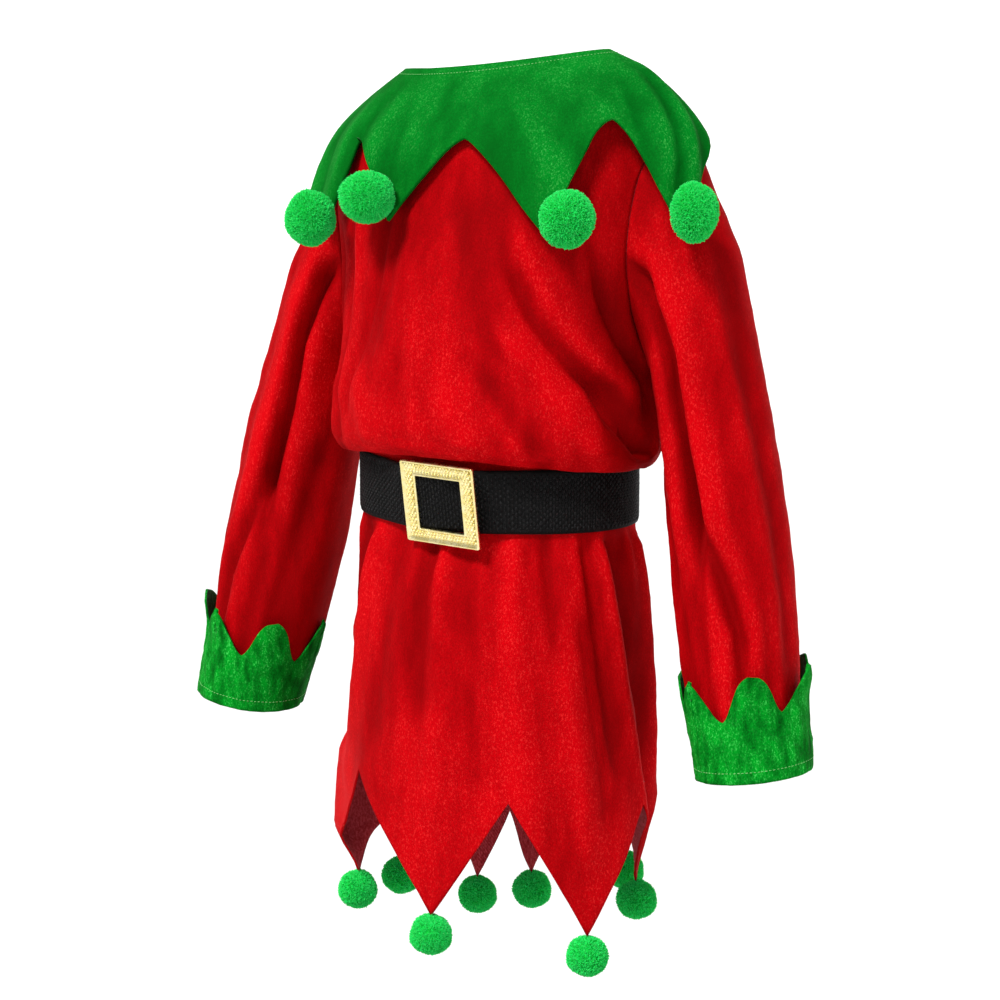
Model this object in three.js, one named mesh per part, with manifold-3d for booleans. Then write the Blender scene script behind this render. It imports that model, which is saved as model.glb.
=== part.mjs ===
// An elf costume: a belted velvet tunic with a pointed collar, pointed cuffs and a pointed hem.
// Millimetres, +Z up. The front faces -Y and +X is the wearer's left.
// The origin is the middle of the neck, where the shoulders carry the costume.
import * as THREE from 'three';
import * as BufferGeometryUtils from 'three/addons/utils/BufferGeometryUtils.js';
import Module from 'manifold-3d';

// Cloth
const VELVET = 2;
const COLLAR_CLOTH = 3;
const SEAM = 0.3;
const ARMHOLE_SEAM = 0.45;

// The wearer's left shoulder is carried a little higher: rise per millimetre of x, fading out downwards
const LEAN = 0.09;
const LEAN_DEPTH = 260;
const LEAN_MOST = 1.1;

// Columns across one panel
const PANEL_COLUMNS = 24;

// Tunic sections above the skirt, from the neck down. Each section is half an oval: x and z are its side
// edge, yFront and yBack the edges of the two panels there, front, frontZ, back and backZ the middle of
// each panel, and wrap the share of a quarter turn that a panel covers.
const TUNIC = [
  { x: 86, z: 1, yFront: 13, yBack: 13, front: -33, frontZ: -3, back: 45, backZ: -4, wrap: 1 },
  { x: 115, z: -20, yFront: 14, yBack: 14, front: -52, frontZ: -26, back: 62, backZ: -22, wrap: 1 },
  { x: 143, z: -48, yFront: 15, yBack: 15, front: -68, frontZ: -58, back: 76, backZ: -50, wrap: 1 },
  { x: 137, z: -92, yFront: -22, yBack: 50, front: -85, frontZ: -110, back: 88, backZ: -104, wrap: 0.7 },
  { x: 131, z: -145, yFront: -29, yBack: 57, front: -98, frontZ: -156, back: 94, backZ: -150, wrap: 0.66 },
  { x: 133, z: -196, yFront: -20, yBack: 46, front: -106, frontZ: -200, back: 97, backZ: -197, wrap: 0.76 },
  { x: 139, z: -244, yFront: 8, yBack: 8, front: -111, frontZ: -244, back: 98, backZ: -244, wrap: 1 },
  { x: 141, z: -275, yFront: 0, yBack: 0, front: -113, frontZ: -270, back: 98, backZ: -272, wrap: 1 },
  { x: 140, z: -297, yFront: 0, yBack: 0, front: -111, frontZ: -287, back: 96, backZ: -292, wrap: 1 },
  { x: 133, z: -310, yFront: 0, yBack: 0, front: -104, frontZ: -298, back: 92, backZ: -304, wrap: 1 },
  { x: 125, z: -306, yFront: 0, yBack: 0, front: -95, frontZ: -296, back: 88, backZ: -300, wrap: 1 },
  { x: 119, z: -299, yFront: 0, yBack: 0, front: -87, frontZ: -292, back: 85.5, backZ: -295, wrap: 1 },
  { x: 117, z: -305, yFront: 0, yBack: 0, front: -84.5, frontZ: -303, back: 84.5, backZ: -303, wrap: 1 },
];
// Rows from each section to the next
const TUNIC_STEPS = [2, 2, 3, 3, 3, 3, 2, 1, 1, 1, 1, 1, 1];
// Its shoulder tip and its armpit: the sections, and the rows that these steps make of them
const TUNIC_SHOULDER = 2;
const TUNIC_ARMPIT = 6;
const SHOULDER_TIP = 4;
const ARMPIT = 16;
// Section from which the blouse turns under, where it has no creases
const TUNIC_UNDER = 8;

// Skirt ovals under the belt
const SKIRT = [
  { z: -332, x: 117, y: 84.5 },
  { z: -359, x: 117, y: 84.5 },
  { z: -374, x: 119, y: 86 },
  { z: -400, x: 124, y: 95 },
  { z: -440, x: 128, y: 99 },
  { z: -480, x: 131, y: 102 },
  { z: -515, x: 134, y: 105 },
  { z: -546, x: 136, y: 107 },
];
// Share of the way to the hem's own plan that the last oval has gone, and rows from there to the edge
const HEM_SHARE = 0.75;
const HEM_ROWS = 3;
// The skirt's flare: its first oval, and how late the flare sets in
const FLARE_START = 1;
const FLARE_EASE = 1.4;

// The hem in plan, starting under the middle of the front and going towards the wearer's left:
// the end of each point and the notch that follows it. Points swing in or out where the cloth folds.
const HEM = [
  { tip: [4, -110, -664], notch: [67, -96, -566] },
  { tip: [117, -58, -677], notch: [138, -8, -578] },
  { tip: [104, 48, -663], notch: [108, 77, -580] },
  { tip: [66, 97, -657], notch: [18, 114, -604] },
  { tip: [-30, 107, -693], notch: [-50, 104, -640] },
  { tip: [-76, 92, -701], notch: [-108, 82, -606] },
  { tip: [-125, 46, -679], notch: [-108, 30, -618] },
  { tip: [-137, -4, -680], notch: [-76, -92, -559] },
];

// Creases: a soft trough or ridge from one place to another on the tunic, by turn from the front in
// degrees and height, with its depth (outwards is positive) and its half width
const CREASES = [
  { turn: 12, z: -120, turnEnd: 30, zEnd: -215, depth: -3, width: 12 },
  { turn: 27, z: -205, turnEnd: 78, zEnd: -288, depth: -6, width: 11 },
  { turn: 40, z: -250, turnEnd: 82, zEnd: -300, depth: 4, width: 10 },
  { turn: -62, z: -110, turnEnd: -50, zEnd: -262, depth: -3, width: 10 },
  { turn: -44, z: -130, turnEnd: -40, zEnd: -240, depth: 2.5, width: 10 },
  { turn: -12, z: -235, turnEnd: -8, zEnd: -288, depth: -2.5, width: 11 },
  { turn: 196, z: -120, turnEnd: 210, zEnd: -280, depth: -4, width: 14 },
  { turn: 162, z: -140, turnEnd: 140, zEnd: -285, depth: -4, width: 14 },
  { turn: -40, z: -362, turnEnd: -33, zEnd: -470, depth: -4, width: 11 },
  { turn: 24, z: -362, turnEnd: 26, zEnd: -500, depth: -4, width: 10 },
  { turn: 50, z: -362, turnEnd: 47, zEnd: -600, depth: -5, width: 10 },
  { turn: 79, z: -362, turnEnd: 82, zEnd: -590, depth: -9, width: 12 },
  { turn: -80, z: -362, turnEnd: -82, zEnd: -560, depth: -6, width: 12 },
  { turn: -66, z: -470, turnEnd: -50, zEnd: -634, depth: 10, width: 24 },
  { turn: -50, z: -575, turnEnd: -47, zEnd: -636, depth: 14, width: 20 },
  { turn: 112, z: -362, turnEnd: 114, zEnd: -560, depth: -7, width: 13 },
  { turn: 150, z: -362, turnEnd: 152, zEnd: -560, depth: -7, width: 13 },
  { turn: 184, z: -362, turnEnd: 184, zEnd: -560, depth: -6, width: 13 },
  { turn: 222, z: -362, turnEnd: 222, zEnd: -560, depth: -7, width: 13 },
  { turn: 250, z: -362, turnEnd: 250, zEnd: -560, depth: -6, width: 13 },
];
// Radius that turns degrees into lengths, and the length over which a crease fades out past its ends
const CREASE_RADIUS = 105;
const CREASE_END = 22;

// Left sleeve rings after the armhole: the outer and the inner point of each, in x and z, and its middle
// and half depth in y. The right sleeve is its mirror image but for slim, how much less far out it goes.
const SLEEVE = [
  { outerX: 161, outerZ: -67, innerX: 142, innerZ: -251, y: 14, depth: 45, slim: 6 },
  { outerX: 180, outerZ: -103, innerX: 144.5, innerZ: -261, y: 13, depth: 47, slim: 9 },
  { outerX: 203, outerZ: -148, innerX: 146, innerZ: -276, y: 12, depth: 47, slim: 9 },
  { outerX: 216, outerZ: -198, innerX: 147.5, innerZ: -297, y: 11, depth: 46, slim: 7 },
  { outerX: 229, outerZ: -248, innerX: 150, innerZ: -323, y: 9, depth: 45, slim: 4 },
  { outerX: 241, outerZ: -298, innerX: 155, innerZ: -354, y: 7, depth: 46, slim: 1 },
  { outerX: 251, outerZ: -348, innerX: 160, innerZ: -389, y: 5, depth: 46, slim: 0 },
  { outerX: 260, outerZ: -398, innerX: 167, innerZ: -426, y: 0, depth: 46, slim: -2 },
  { outerX: 266, outerZ: -446, innerX: 176, innerZ: -464, y: -5, depth: 45, slim: -2 },
  { outerX: 270, outerZ: -480, innerX: 183.5, innerZ: -494, y: -10, depth: 42, slim: 0 },
  { outerX: 276, outerZ: -508, innerX: 191, innerZ: -521, y: -13, depth: 40.5, slim: 0 },
  { outerX: 279.5, outerZ: -523, innerX: 196, innerZ: -536, y: -15, depth: 40, slim: 0 },
];
// Sleeve creases: ring and turn (0 outside, 90 front) at both ends
const SLEEVE_CREASES = [
  { ring: 1.5, turn: 120, ringEnd: 5.5, turnEnd: 60, depth: -5, width: 0.35 },
  { ring: 5, turn: 75, ringEnd: 8.5, turnEnd: 40, depth: -4, width: 0.3 },
  { ring: 3.5, turn: 30, ringEnd: 8.5, turnEnd: 15, depth: -3, width: 0.3 },
  { ring: 4, turn: 150, ringEnd: 9, turnEnd: 120, depth: -3.5, width: 0.32 },
  { ring: 2, turn: 260, ringEnd: 8, turnEnd: 240, depth: -5, width: 0.35 },
  { ring: 3, turn: 315, ringEnd: 8, turnEnd: 300, depth: -4, width: 0.32 },
];

// Cuff rings from the lower edge to the ends of its points, laid out as the sleeve rings are
const CUFF = [
  { outerX: 284, outerZ: -529, innerX: 193.5, innerZ: -542, y: -15, depth: 44 },
  { outerX: 281, outerZ: -504, innerX: 188, innerZ: -521, y: -12.5, depth: 45.5 },
  { outerX: 277.5, outerZ: -479, innerX: 181.5, innerZ: -500, y: -10, depth: 47 },
  { outerX: 278, outerZ: -461, innerX: 176, innerZ: -481, y: -8, depth: 50 },
  { outerX: 279, outerZ: -446, innerX: 171, innerZ: -465, y: -7, depth: 53 },
];
const CUFF_NOTCH = 2;
const CUFF_POINTS = 6;
const CUFF_POINT_COLUMNS = 6;
const CUFF_ROWS = 5;
// Turn of the point that faces forwards and outwards, on the left and on the right cuff
const CUFF_TURN = { left: 59, right: 132 };

// Collar sections from the neck down, each an oval: half width, middle in x, front and back in y, heights
// of its side, front and back
const COLLAR = [
  { x: 90, shift: 1, front: -38, back: 50, sideZ: 4, frontZ: 0, backZ: -1 },
  { x: 121, shift: 4, front: -57, back: 68, sideZ: -14, frontZ: -24, backZ: -20 },
  { x: 151, shift: 4, front: -74, back: 83, sideZ: -40, frontZ: -51, backZ: -44 },
  { x: 170, shift: 6, front: -86, back: 93, sideZ: -67, frontZ: -82, backZ: -75 },
  { x: 182, shift: 6, front: -97, back: 101, sideZ: -96, frontZ: -114, backZ: -106 },
  { x: 196, shift: 6, front: -106, back: 107, sideZ: -124, frontZ: -146, backZ: -138 },
];
// The collar's points from the front towards the wearer's left: the section that each reaches, how far the
// notch before it and its end swing round the body, in degrees, where its pompom sits, sideways of its end
// and down the sheet, and how far a flat side of the pompom lets it come closer to the sheet
const COLLAR_POINTS = [
  { name: 'front_left', reach: 4.7, notch: -2, swing: -2, pompomShift: 6, pompom: 4.4, closer: 2.8 },
  { name: 'left', reach: 4.9, notch: -7, swing: -33, pompomShift: 2, pompom: 4.8, closer: 0 },
  { name: 'back_left', reach: 4.5, notch: 0, swing: 0, pompomShift: 0, pompom: 4.1, closer: 0.8 },
  { name: 'back_right', reach: 4.5, notch: 0, swing: 0, pompomShift: 0, pompom: 4.1, closer: 1 },
  { name: 'right', reach: 4.8, notch: 0, swing: 36, pompomShift: 2, pompom: 4.4, closer: 1.6 },
  { name: 'front_right', reach: 4.1, notch: 3, swing: 2, pompomShift: -3, pompom: 3.7, closer: 0.9 },
];
const COLLAR_POINT_COLUMNS = 8;
const COLLAR_ROWS = 7;
// Its shoulder line in y, and the turn of the notch in front
const COLLAR_SHOULDER = 13;
const COLLAR_MIDDLE = 6;
// Section that the collar reaches at its notches
const COLLAR_NOTCH = 2.15;
// Its cloth is shared out round this section, measured in this many steps
const COLLAR_GIRTH = 3;
const COLLAR_MEASURES = 720;

// Belt: an elastic band on the waist oval, which stands off at the buckle to let its bar through
const BELT = { x: 117.4, y: 84.9, top: -307, bottom: -357, wall: 2 };
const BELT_BULGE = { turn: 3, width: 26, top: 14, bottom: 5.2, power: 4 };
const BELT_ROWS = 2;

// Buckle: a square frame with a plain bar behind the band
const BUCKLE = {
  width: 70, height: 66, window: 43, thickness: 3, round: 3, windowRound: 1,
  x: 7, y: -96.9, z: -335, swing: -5, lean: 10,
};
const BUCKLE_BAR = { width: 12, thickness: 1.4, gap: 3.7, post: 3, inset: 1, root: 0.5 };

// Pompoms: a core with locks that stand out of it
const POMPOM = { collar: 18, hem: 14.2, lock: 3, locks: 17 };
// Cosine of the angle round its cloth within which a pompom has no locks
const POMPOM_BARE = 0.75;
const HEM_POMPOMS = [
  'pompom_hem_front', 'pompom_hem_front_left', 'pompom_hem_left', 'pompom_hem_back_left',
  'pompom_hem_back', 'pompom_hem_back_right', 'pompom_hem_right', 'pompom_hem_front_right',
];

const redVelvet = new THREE.MeshStandardMaterial({ color: 0xc80810, roughness: 0.6, metalness: 0 });
const greenVelvet = new THREE.MeshStandardMaterial({ color: 0x067a2c, roughness: 0.6, metalness: 0 });
const greenYarn = new THREE.MeshStandardMaterial({ color: 0x12b84a, roughness: 0.9, metalness: 0 });
const blackElastic = new THREE.MeshStandardMaterial({ color: 0x0c0c0c, roughness: 0.7, metalness: 0 });
const goldBuckle = new THREE.MeshStandardMaterial({ color: 0xd9b865, roughness: 0.3, metalness: 1 });

// Corners nearer than this are one corner
const MERGE = 1e-4;
// Steps either way that give the slope of a sheet at one place: degrees and sections
const SLOPE = { turn: 1, place: 0.02 };

const radians = THREE.MathUtils.degToRad;
const point = (x, y, z) => new THREE.Vector3(x, y, z);
const costume = new THREE.Group();

// One value of a table at a place between its rows, on a smooth curve through them
function along(table, key, place) {
  const last = table.length - 1;
  const row = Math.min(Math.floor(place), last - 1);
  const t = place - row;
  const value = (index) => table[THREE.MathUtils.clamp(index, 0, last)][key];
  const [before, start, end, after] = [value(row - 1), value(row), value(row + 1), value(row + 2)];
  const slopeIn = row > 0 ? (end - before) / 2 : end - start;
  const slopeOut = row + 2 <= last ? (after - start) / 2 : end - start;
  const cube = 2 * start - 2 * end + slopeIn + slopeOut;
  const square = 3 * (end - start) - 2 * slopeIn - slopeOut;
  return ((cube * t + square) * t + slopeIn) * t + start;
}

// A section of a table as one object, at a place between its rows
function section(table, place) {
  const entries = Object.keys(table[0]).map((key) => [key, along(table, key, place)]);
  return Object.fromEntries(entries);
}

// The costume leans a little: what is high up rises towards the wearer's left
function leaned(place) {
  const fade = THREE.MathUtils.clamp(1 + place.z / LEAN_DEPTH, 0, LEAN_MOST);
  return point(place.x, place.y, place.z + place.x * LEAN * fade);
}

// How far the creases push a place of the tunic outwards
function creaseAt(turn, z) {
  let depth = 0;
  for (const crease of CREASES) {
    const spanX = radians(crease.turnEnd - crease.turn) * CREASE_RADIUS;
    const spanZ = crease.zEnd - crease.z;
    const turnFrom = THREE.MathUtils.euclideanModulo(turn - crease.turn + 180, 360) - 180;
    const offX = radians(turnFrom) * CREASE_RADIUS;
    const offZ = z - crease.z;
    const length = Math.hypot(spanX, spanZ);
    const run = (offX * spanX + offZ * spanZ) / length;
    const side = (offX * spanZ - offZ * spanX) / length;
    const past = Math.max(0, -run, run - length);
    depth += crease.depth * Math.exp(-((side / crease.width) ** 2) - (past / CREASE_END) ** 2);
  }
  return depth;
}

// Moves a place away from the tunic's upright middle line
function pushed(place, distance) {
  const reach = Math.hypot(place.x, place.y);
  return point(place.x * (1 + distance / reach), place.y * (1 + distance / reach), place.z);
}

// One place of a tunic panel above the skirt: across runs from -1 to 1
function tunicPlace(back, place, across) {
  const s = section(TUNIC, place);
  const armhole = place > TUNIC_SHOULDER && place < TUNIC_ARMPIT;
  const seamY = (s.yFront + s.yBack) / 2;
  const [ownY, middleY, middleZ] = back ? [s.yBack, s.back, s.backZ] : [s.yFront, s.front, s.frontZ];
  const edgeY = armhole ? ownY : seamY;
  const wrap = s.wrap * Math.PI / 2;
  const angle = across * wrap;
  const inward = (Math.cos(angle) - Math.cos(wrap)) / (1 - Math.cos(wrap));
  const sideways = Math.sin(angle) / Math.sin(wrap);
  const z = middleZ + (s.z - middleZ) * sideways ** 2;
  const flat = point(s.x * sideways, edgeY + (middleY - edgeY) * inward, z);
  const turn = across * 90;
  const under = place > TUNIC_UNDER;
  return leaned(under ? flat : pushed(flat, creaseAt(back ? 180 - turn : turn, z)));
}

// The hem's plan as a closed smooth curve through its points and notches: place counts half points
const hemStations = HEM.flatMap((row) => [row.tip, row.notch]).map((row) => point(...row));
const hemPlan = new THREE.CatmullRomCurve3(
  hemStations.map((station) => point(station.x, station.y, 0)), true, 'catmullrom', 0.5);
function hemPlace(place) {
  const count = hemStations.length;
  const station = THREE.MathUtils.euclideanModulo(place, count);
  const index = Math.floor(station);
  const heights = [hemStations[index].z, hemStations[(index + 1) % count].z];
  const plan = hemPlan.getPoint(station / count);
  return point(plan.x, plan.y, THREE.MathUtils.lerp(heights[0], heights[1], station - index));
}

// One place of the skirt: turn is measured from the front towards the wearer's left
function skirtPlace(turn, place) {
  const last = SKIRT.length - 1;
  const oval = section(SKIRT, Math.min(place, last));
  const flat = point(oval.x * Math.sin(radians(turn)), -oval.y * Math.cos(radians(turn)), oval.z);
  const end = hemPlace(turn / 360 * hemStations.length);
  const run = THREE.MathUtils.clamp((place - FLARE_START) / (last - FLARE_START), 0, 1);
  const share = HEM_SHARE * run ** FLARE_EASE;
  const down = Math.max(0, place - last);
  const blend = THREE.MathUtils.lerp(share, 1, down);
  const z = THREE.MathUtils.lerp(flat.z, end.z, down);
  const plan = point(
    THREE.MathUtils.lerp(flat.x, end.x, blend), THREE.MathUtils.lerp(flat.y, end.y, blend), z);
  const fade = THREE.MathUtils.clamp(place - FLARE_START, 0, 1);
  return pushed(plan, creaseAt(turn, z) * fade);
}

// The rows of one panel from neck to hem
function panelGrid(back) {
  const places = [];
  TUNIC_STEPS.forEach((steps, index) => {
    for (let step = 0; step < steps; step += 1) places.push({ tunic: index + step / steps });
  });
  for (let row = 0; row < SKIRT.length; row += 1) places.push({ skirt: row });
  for (let row = 1; row <= HEM_ROWS; row += 1) places.push({ skirt: SKIRT.length - 1 + row / HEM_ROWS });
  return places.map((place) => {
    const row = [];
    for (let column = 0; column <= PANEL_COLUMNS; column += 1) {
      const across = column / PANEL_COLUMNS * 2 - 1;
      const turn = back ? 180 - across * 90 : across * 90;
      row.push('tunic' in place ? tunicPlace(back, place.tunic, across) : skirtPlace(turn, place.skirt));
    }
    const [first, second] = [row[0], row[1]];
    const [last, beforeLast] = [row[PANEL_COLUMNS], row[PANEL_COLUMNS - 1]];
    row[0] = first.clone().addScaledVector(second.clone().sub(first).normalize(), SEAM / 2);
    row[PANEL_COLUMNS] = last.clone().addScaledVector(beforeLast.clone().sub(last).normalize(), SEAM / 2);
    return row;
  });
}

// Slope of a run of places at one of them, exact for a parabola at the ends
function slopeAt(places, index, closed) {
  const count = places.length;
  if (closed) return places[(index + 1) % count].clone().sub(places[(index + count - 1) % count]);
  if (index > 0 && index < count - 1) return places[index + 1].clone().sub(places[index - 1]);
  const step = index === 0 ? 1 : -1;
  const [here, next, third] = [places[index], places[index + step], places[index + 2 * step]];
  return next.clone().multiplyScalar(4).addScaledVector(here, -3).sub(third).multiplyScalar(step);
}

// The inner side of a grid: every place moved in by the wall's thickness
function innerSide(grid, outward, wall, acrossAt) {
  return grid.map((row, rowIndex) => row.map((place, column) => {
    const downSlope = slopeAt(grid.map((other) => other[column]), rowIndex, false);
    const normal = downSlope.cross(acrossAt(row, column, rowIndex)).multiplyScalar(outward);
    return place.clone().addScaledVector(normal.normalize(), -wall);
  }));
}
const roundAbout = (row, column) => slopeAt(row, column, true);

// Across a seam the two panels take one slope, so that their walls meet edge to edge
function panelSlope(neighbour) {
  return (row, column, rowIndex) => {
    const other = neighbour[rowIndex];
    const seam = rowIndex <= SHOULDER_TIP || rowIndex >= ARMPIT;
    if (seam && column === 0) return row[1].clone().sub(other[1]);
    if (seam && column === PANEL_COLUMNS) return other[column - 1].clone().sub(row[column - 1]);
    return slopeAt(row, column, false);
  };
}

// A closed solid between an outer and an inner grid
function wallGeometry(outer, inner, closed) {
  const rows = outer.length;
  const columns = outer[0].length;
  const positions = [...outer.flat(), ...inner.flat()].flatMap((place) => [place.x, place.y, place.z]);
  const outside = (row, column) => row * columns + column % columns;
  const inside = (row, column) => rows * columns + outside(row, column);
  const index = [];
  const quad = (a, b, c, d) => index.push(a, b, c, a, c, d);
  const spans = closed ? columns : columns - 1;
  for (let row = 0; row < rows - 1; row += 1) {
    for (let column = 0; column < spans; column += 1) {
      quad(outside(row, column), outside(row + 1, column), outside(row + 1, column + 1),
        outside(row, column + 1));
      quad(inside(row, column), inside(row, column + 1), inside(row + 1, column + 1),
        inside(row + 1, column));
    }
  }
  for (let column = 0; column < spans; column += 1) {
    quad(outside(0, column), outside(0, column + 1), inside(0, column + 1), inside(0, column));
    quad(outside(rows - 1, column + 1), outside(rows - 1, column), inside(rows - 1, column),
      inside(rows - 1, column + 1));
  }
  for (let row = 0; row < rows - 1 && !closed; row += 1) {
    quad(outside(row + 1, 0), outside(row, 0), inside(row, 0), inside(row + 1, 0));
    quad(outside(row, columns - 1), outside(row + 1, columns - 1), inside(row + 1, columns - 1),
      inside(row, columns - 1));
  }
  const geometry = new THREE.BufferGeometry();
  geometry.setAttribute('position', new THREE.Float32BufferAttribute(positions, 3));
  geometry.setIndex(index);
  return facingOut(geometry);
}

// Turns every face of a closed solid round where they point inwards
function facingOut(geometry) {
  const position = geometry.getAttribute('position');
  const index = geometry.getIndex().array;
  const corner = (place) => new THREE.Vector3().fromBufferAttribute(position, index[place]);
  let volume = 0;
  for (let face = 0; face < index.length; face += 3) {
    volume += corner(face).dot(corner(face + 1).cross(corner(face + 2)));
  }
  for (let face = 0; volume < 0 && face < index.length; face += 3) {
    [index[face + 1], index[face + 2]] = [index[face + 2], index[face + 1]];
  }
  return geometry;
}

function add(name, geometry, material) {
  const mesh = new THREE.Mesh(geometry, material);
  mesh.name = name;
  costume.add(mesh);
  return mesh;
}

// One ring of a sleeve or cuff on the left side: turn is 0 outside and 90 in front
function ringPlace(ring, turn) {
  const swing = Math.cos(radians(turn));
  return point(
    (ring.outerX + ring.innerX) / 2 + (ring.outerX - ring.innerX) / 2 * swing,
    ring.y - ring.depth * Math.sin(radians(turn)),
    (ring.outerZ + ring.innerZ) / 2 + (ring.outerZ - ring.innerZ) / 2 * swing);
}

// Mirrors a place to the wearer's right
const sided = (place, side) => point(place.x * side, place.y, place.z);

// How far the sleeve's creases push it outwards
function sleeveCreaseAt(ring, turn) {
  let depth = 0;
  for (const crease of SLEEVE_CREASES) {
    const run = (ring - crease.ring) / (crease.ringEnd - crease.ring);
    const middle = THREE.MathUtils.lerp(crease.turn, crease.turnEnd, THREE.MathUtils.clamp(run, 0, 1));
    const off = radians(THREE.MathUtils.euclideanModulo(turn - middle + 180, 360) - 180);
    const past = Math.max(0, crease.ring - ring, ring - crease.ringEnd);
    depth += crease.depth * Math.exp(-((off / crease.width) ** 2) - past ** 2);
  }
  return depth;
}

function sleeveGrid(side, frontPanel, backPanel) {
  const edge = side > 0 ? PANEL_COLUMNS : 0;
  const armholeRows = ARMPIT - SHOULDER_TIP;
  const first = [];
  for (let column = 0; column < 2 * armholeRows; column += 1) {
    const inFront = column <= armholeRows;
    const row = SHOULDER_TIP + (inFront ? column : 2 * armholeRows - column);
    const both = column % armholeRows === 0;
    const place = (inFront ? frontPanel : backPanel)[row][edge].clone();
    if (both) place.lerp(backPanel[row][edge], 0.5);
    place.x += side * ARMHOLE_SEAM;
    first.push(place);
  }
  const rings = SLEEVE.map((ring, ringIndex) => first.map((unused, column) => {
    const turn = column / first.length * 360;
    const own = side > 0 ? ring : { ...ring, outerX: ring.outerX - ring.slim };
    const middle = point((own.outerX + own.innerX) / 2, own.y, (own.outerZ + own.innerZ) / 2);
    const place = ringPlace(own, turn);
    const reach = place.distanceTo(middle);
    place.lerp(middle, -sleeveCreaseAt(ringIndex + 1, turn) / reach);
    return leaned(sided(place, side));
  }));
  return [first, ...rings];
}

function cuffGrid(side, turnOfPoint) {
  const columns = CUFF_POINTS * CUFF_POINT_COLUMNS;
  const rows = [];
  for (let row = 0; row <= CUFF_ROWS; row += 1) {
    const ring = [];
    for (let column = 0; column < columns; column += 1) {
      const fromPoint = Math.abs((column % CUFF_POINT_COLUMNS) / CUFF_POINT_COLUMNS - 0.5) * 2;
      const end = THREE.MathUtils.lerp(CUFF_NOTCH, CUFF.length - 1, fromPoint);
      const turn = turnOfPoint + column / columns * 360;
      ring.push(sided(ringPlace(section(CUFF, row / CUFF_ROWS * end), turn), side));
    }
    rows.push(ring);
  }
  return rows;
}

// A place on the collar's sheet: turn from the front towards the wearer's left
function collarPlace(turn, place) {
  const s = section(COLLAR, place);
  const [sine, cosine] = [Math.sin(radians(turn)), Math.cos(radians(turn))];
  const [depth, middleZ] = cosine > 0 ? [s.front, s.frontZ] : [s.back, s.backZ];
  const y = depth * Math.abs(cosine) + COLLAR_SHOULDER * (1 - Math.abs(cosine));
  return leaned(point(s.shift + s.x * sine, y, middleZ + (s.sideZ - middleZ) * sine ** 2));
}

// Turns that part the collar into equal lengths of cloth, starting at the middle notch in front
function collarTurns(count) {
  const lengths = [0];
  for (let step = 1; step <= COLLAR_MEASURES; step += 1) {
    const [a, b] = [step - 1, step].map(
      (mark) => collarPlace(COLLAR_MIDDLE + mark / COLLAR_MEASURES * 360, COLLAR_GIRTH));
    lengths.push(lengths[step - 1] + a.distanceTo(b));
  }
  const turns = [];
  for (let index = 0; index < count; index += 1) {
    const wanted = lengths[COLLAR_MEASURES] * index / count;
    const step = lengths.findIndex((length) => length > wanted);
    const part = (wanted - lengths[step - 1]) / (lengths[step] - lengths[step - 1]);
    turns.push(COLLAR_MIDDLE + (step - 1 + part) / COLLAR_MEASURES * 360);
  }
  return turns;
}

const turnsOfCollar = collarTurns(COLLAR_POINTS.length * COLLAR_POINT_COLUMNS);

function collarGrid() {
  const rows = [];
  for (let row = 0; row <= COLLAR_ROWS; row += 1) {
    rows.push(turnsOfCollar.map((turn, column) => {
      const { reach, swing } = COLLAR_POINTS[Math.floor(column / COLLAR_POINT_COLUMNS)];
      const nearest = Math.round(column / COLLAR_POINT_COLUMNS) % COLLAR_POINTS.length;
      const { notch } = COLLAR_POINTS[nearest];
      const fromTip = Math.abs((column % COLLAR_POINT_COLUMNS) / COLLAR_POINT_COLUMNS - 0.5) * 2;
      const end = THREE.MathUtils.lerp(reach, COLLAR_NOTCH, fromTip);
      const down = row / COLLAR_ROWS;
      const aside = THREE.MathUtils.lerp(swing, notch, fromTip) * down ** 2;
      return collarPlace(turn + aside, down * end);
    }));
  }
  return rows;
}

// The band stands off the waist where the buckle's bar passes behind it
function beltPlace(turn, z) {
  const off = THREE.MathUtils.euclideanModulo(turn - BELT_BULGE.turn + 180, 360) - 180;
  const high = (z - BELT.bottom) / (BELT.top - BELT.bottom);
  const bulge = THREE.MathUtils.lerp(BELT_BULGE.bottom, BELT_BULGE.top, high);
  const stand = bulge * Math.exp(-((off / BELT_BULGE.width) ** BELT_BULGE.power));
  return point(
    (BELT.x + BELT.wall) * Math.sin(radians(turn)),
    -(BELT.y + BELT.wall + stand) * Math.cos(radians(turn)), z);
}

function beltGrid() {
  const rows = [];
  for (let row = 0; row <= BELT_ROWS; row += 1) {
    const z = THREE.MathUtils.lerp(BELT.top, BELT.bottom, row / BELT_ROWS);
    const ring = [];
    for (let column = 0; column < 2 * PANEL_COLUMNS; column += 1) {
      ring.push(beltPlace(column / (2 * PANEL_COLUMNS) * 360, z));
    }
    rows.push(ring);
  }
  return rows;
}

// A rectangle with rounded corners
function roundedRectangle(path, width, height, round) {
  const [x, y] = [width / 2, height / 2];
  path.absarc(x - round, y - round, round, 0, Math.PI / 2);
  path.absarc(round - x, y - round, round, Math.PI / 2, Math.PI);
  path.absarc(round - x, round - y, round, Math.PI, 1.5 * Math.PI);
  path.absarc(x - round, round - y, round, 1.5 * Math.PI, 2 * Math.PI);
  return path;
}

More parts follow.
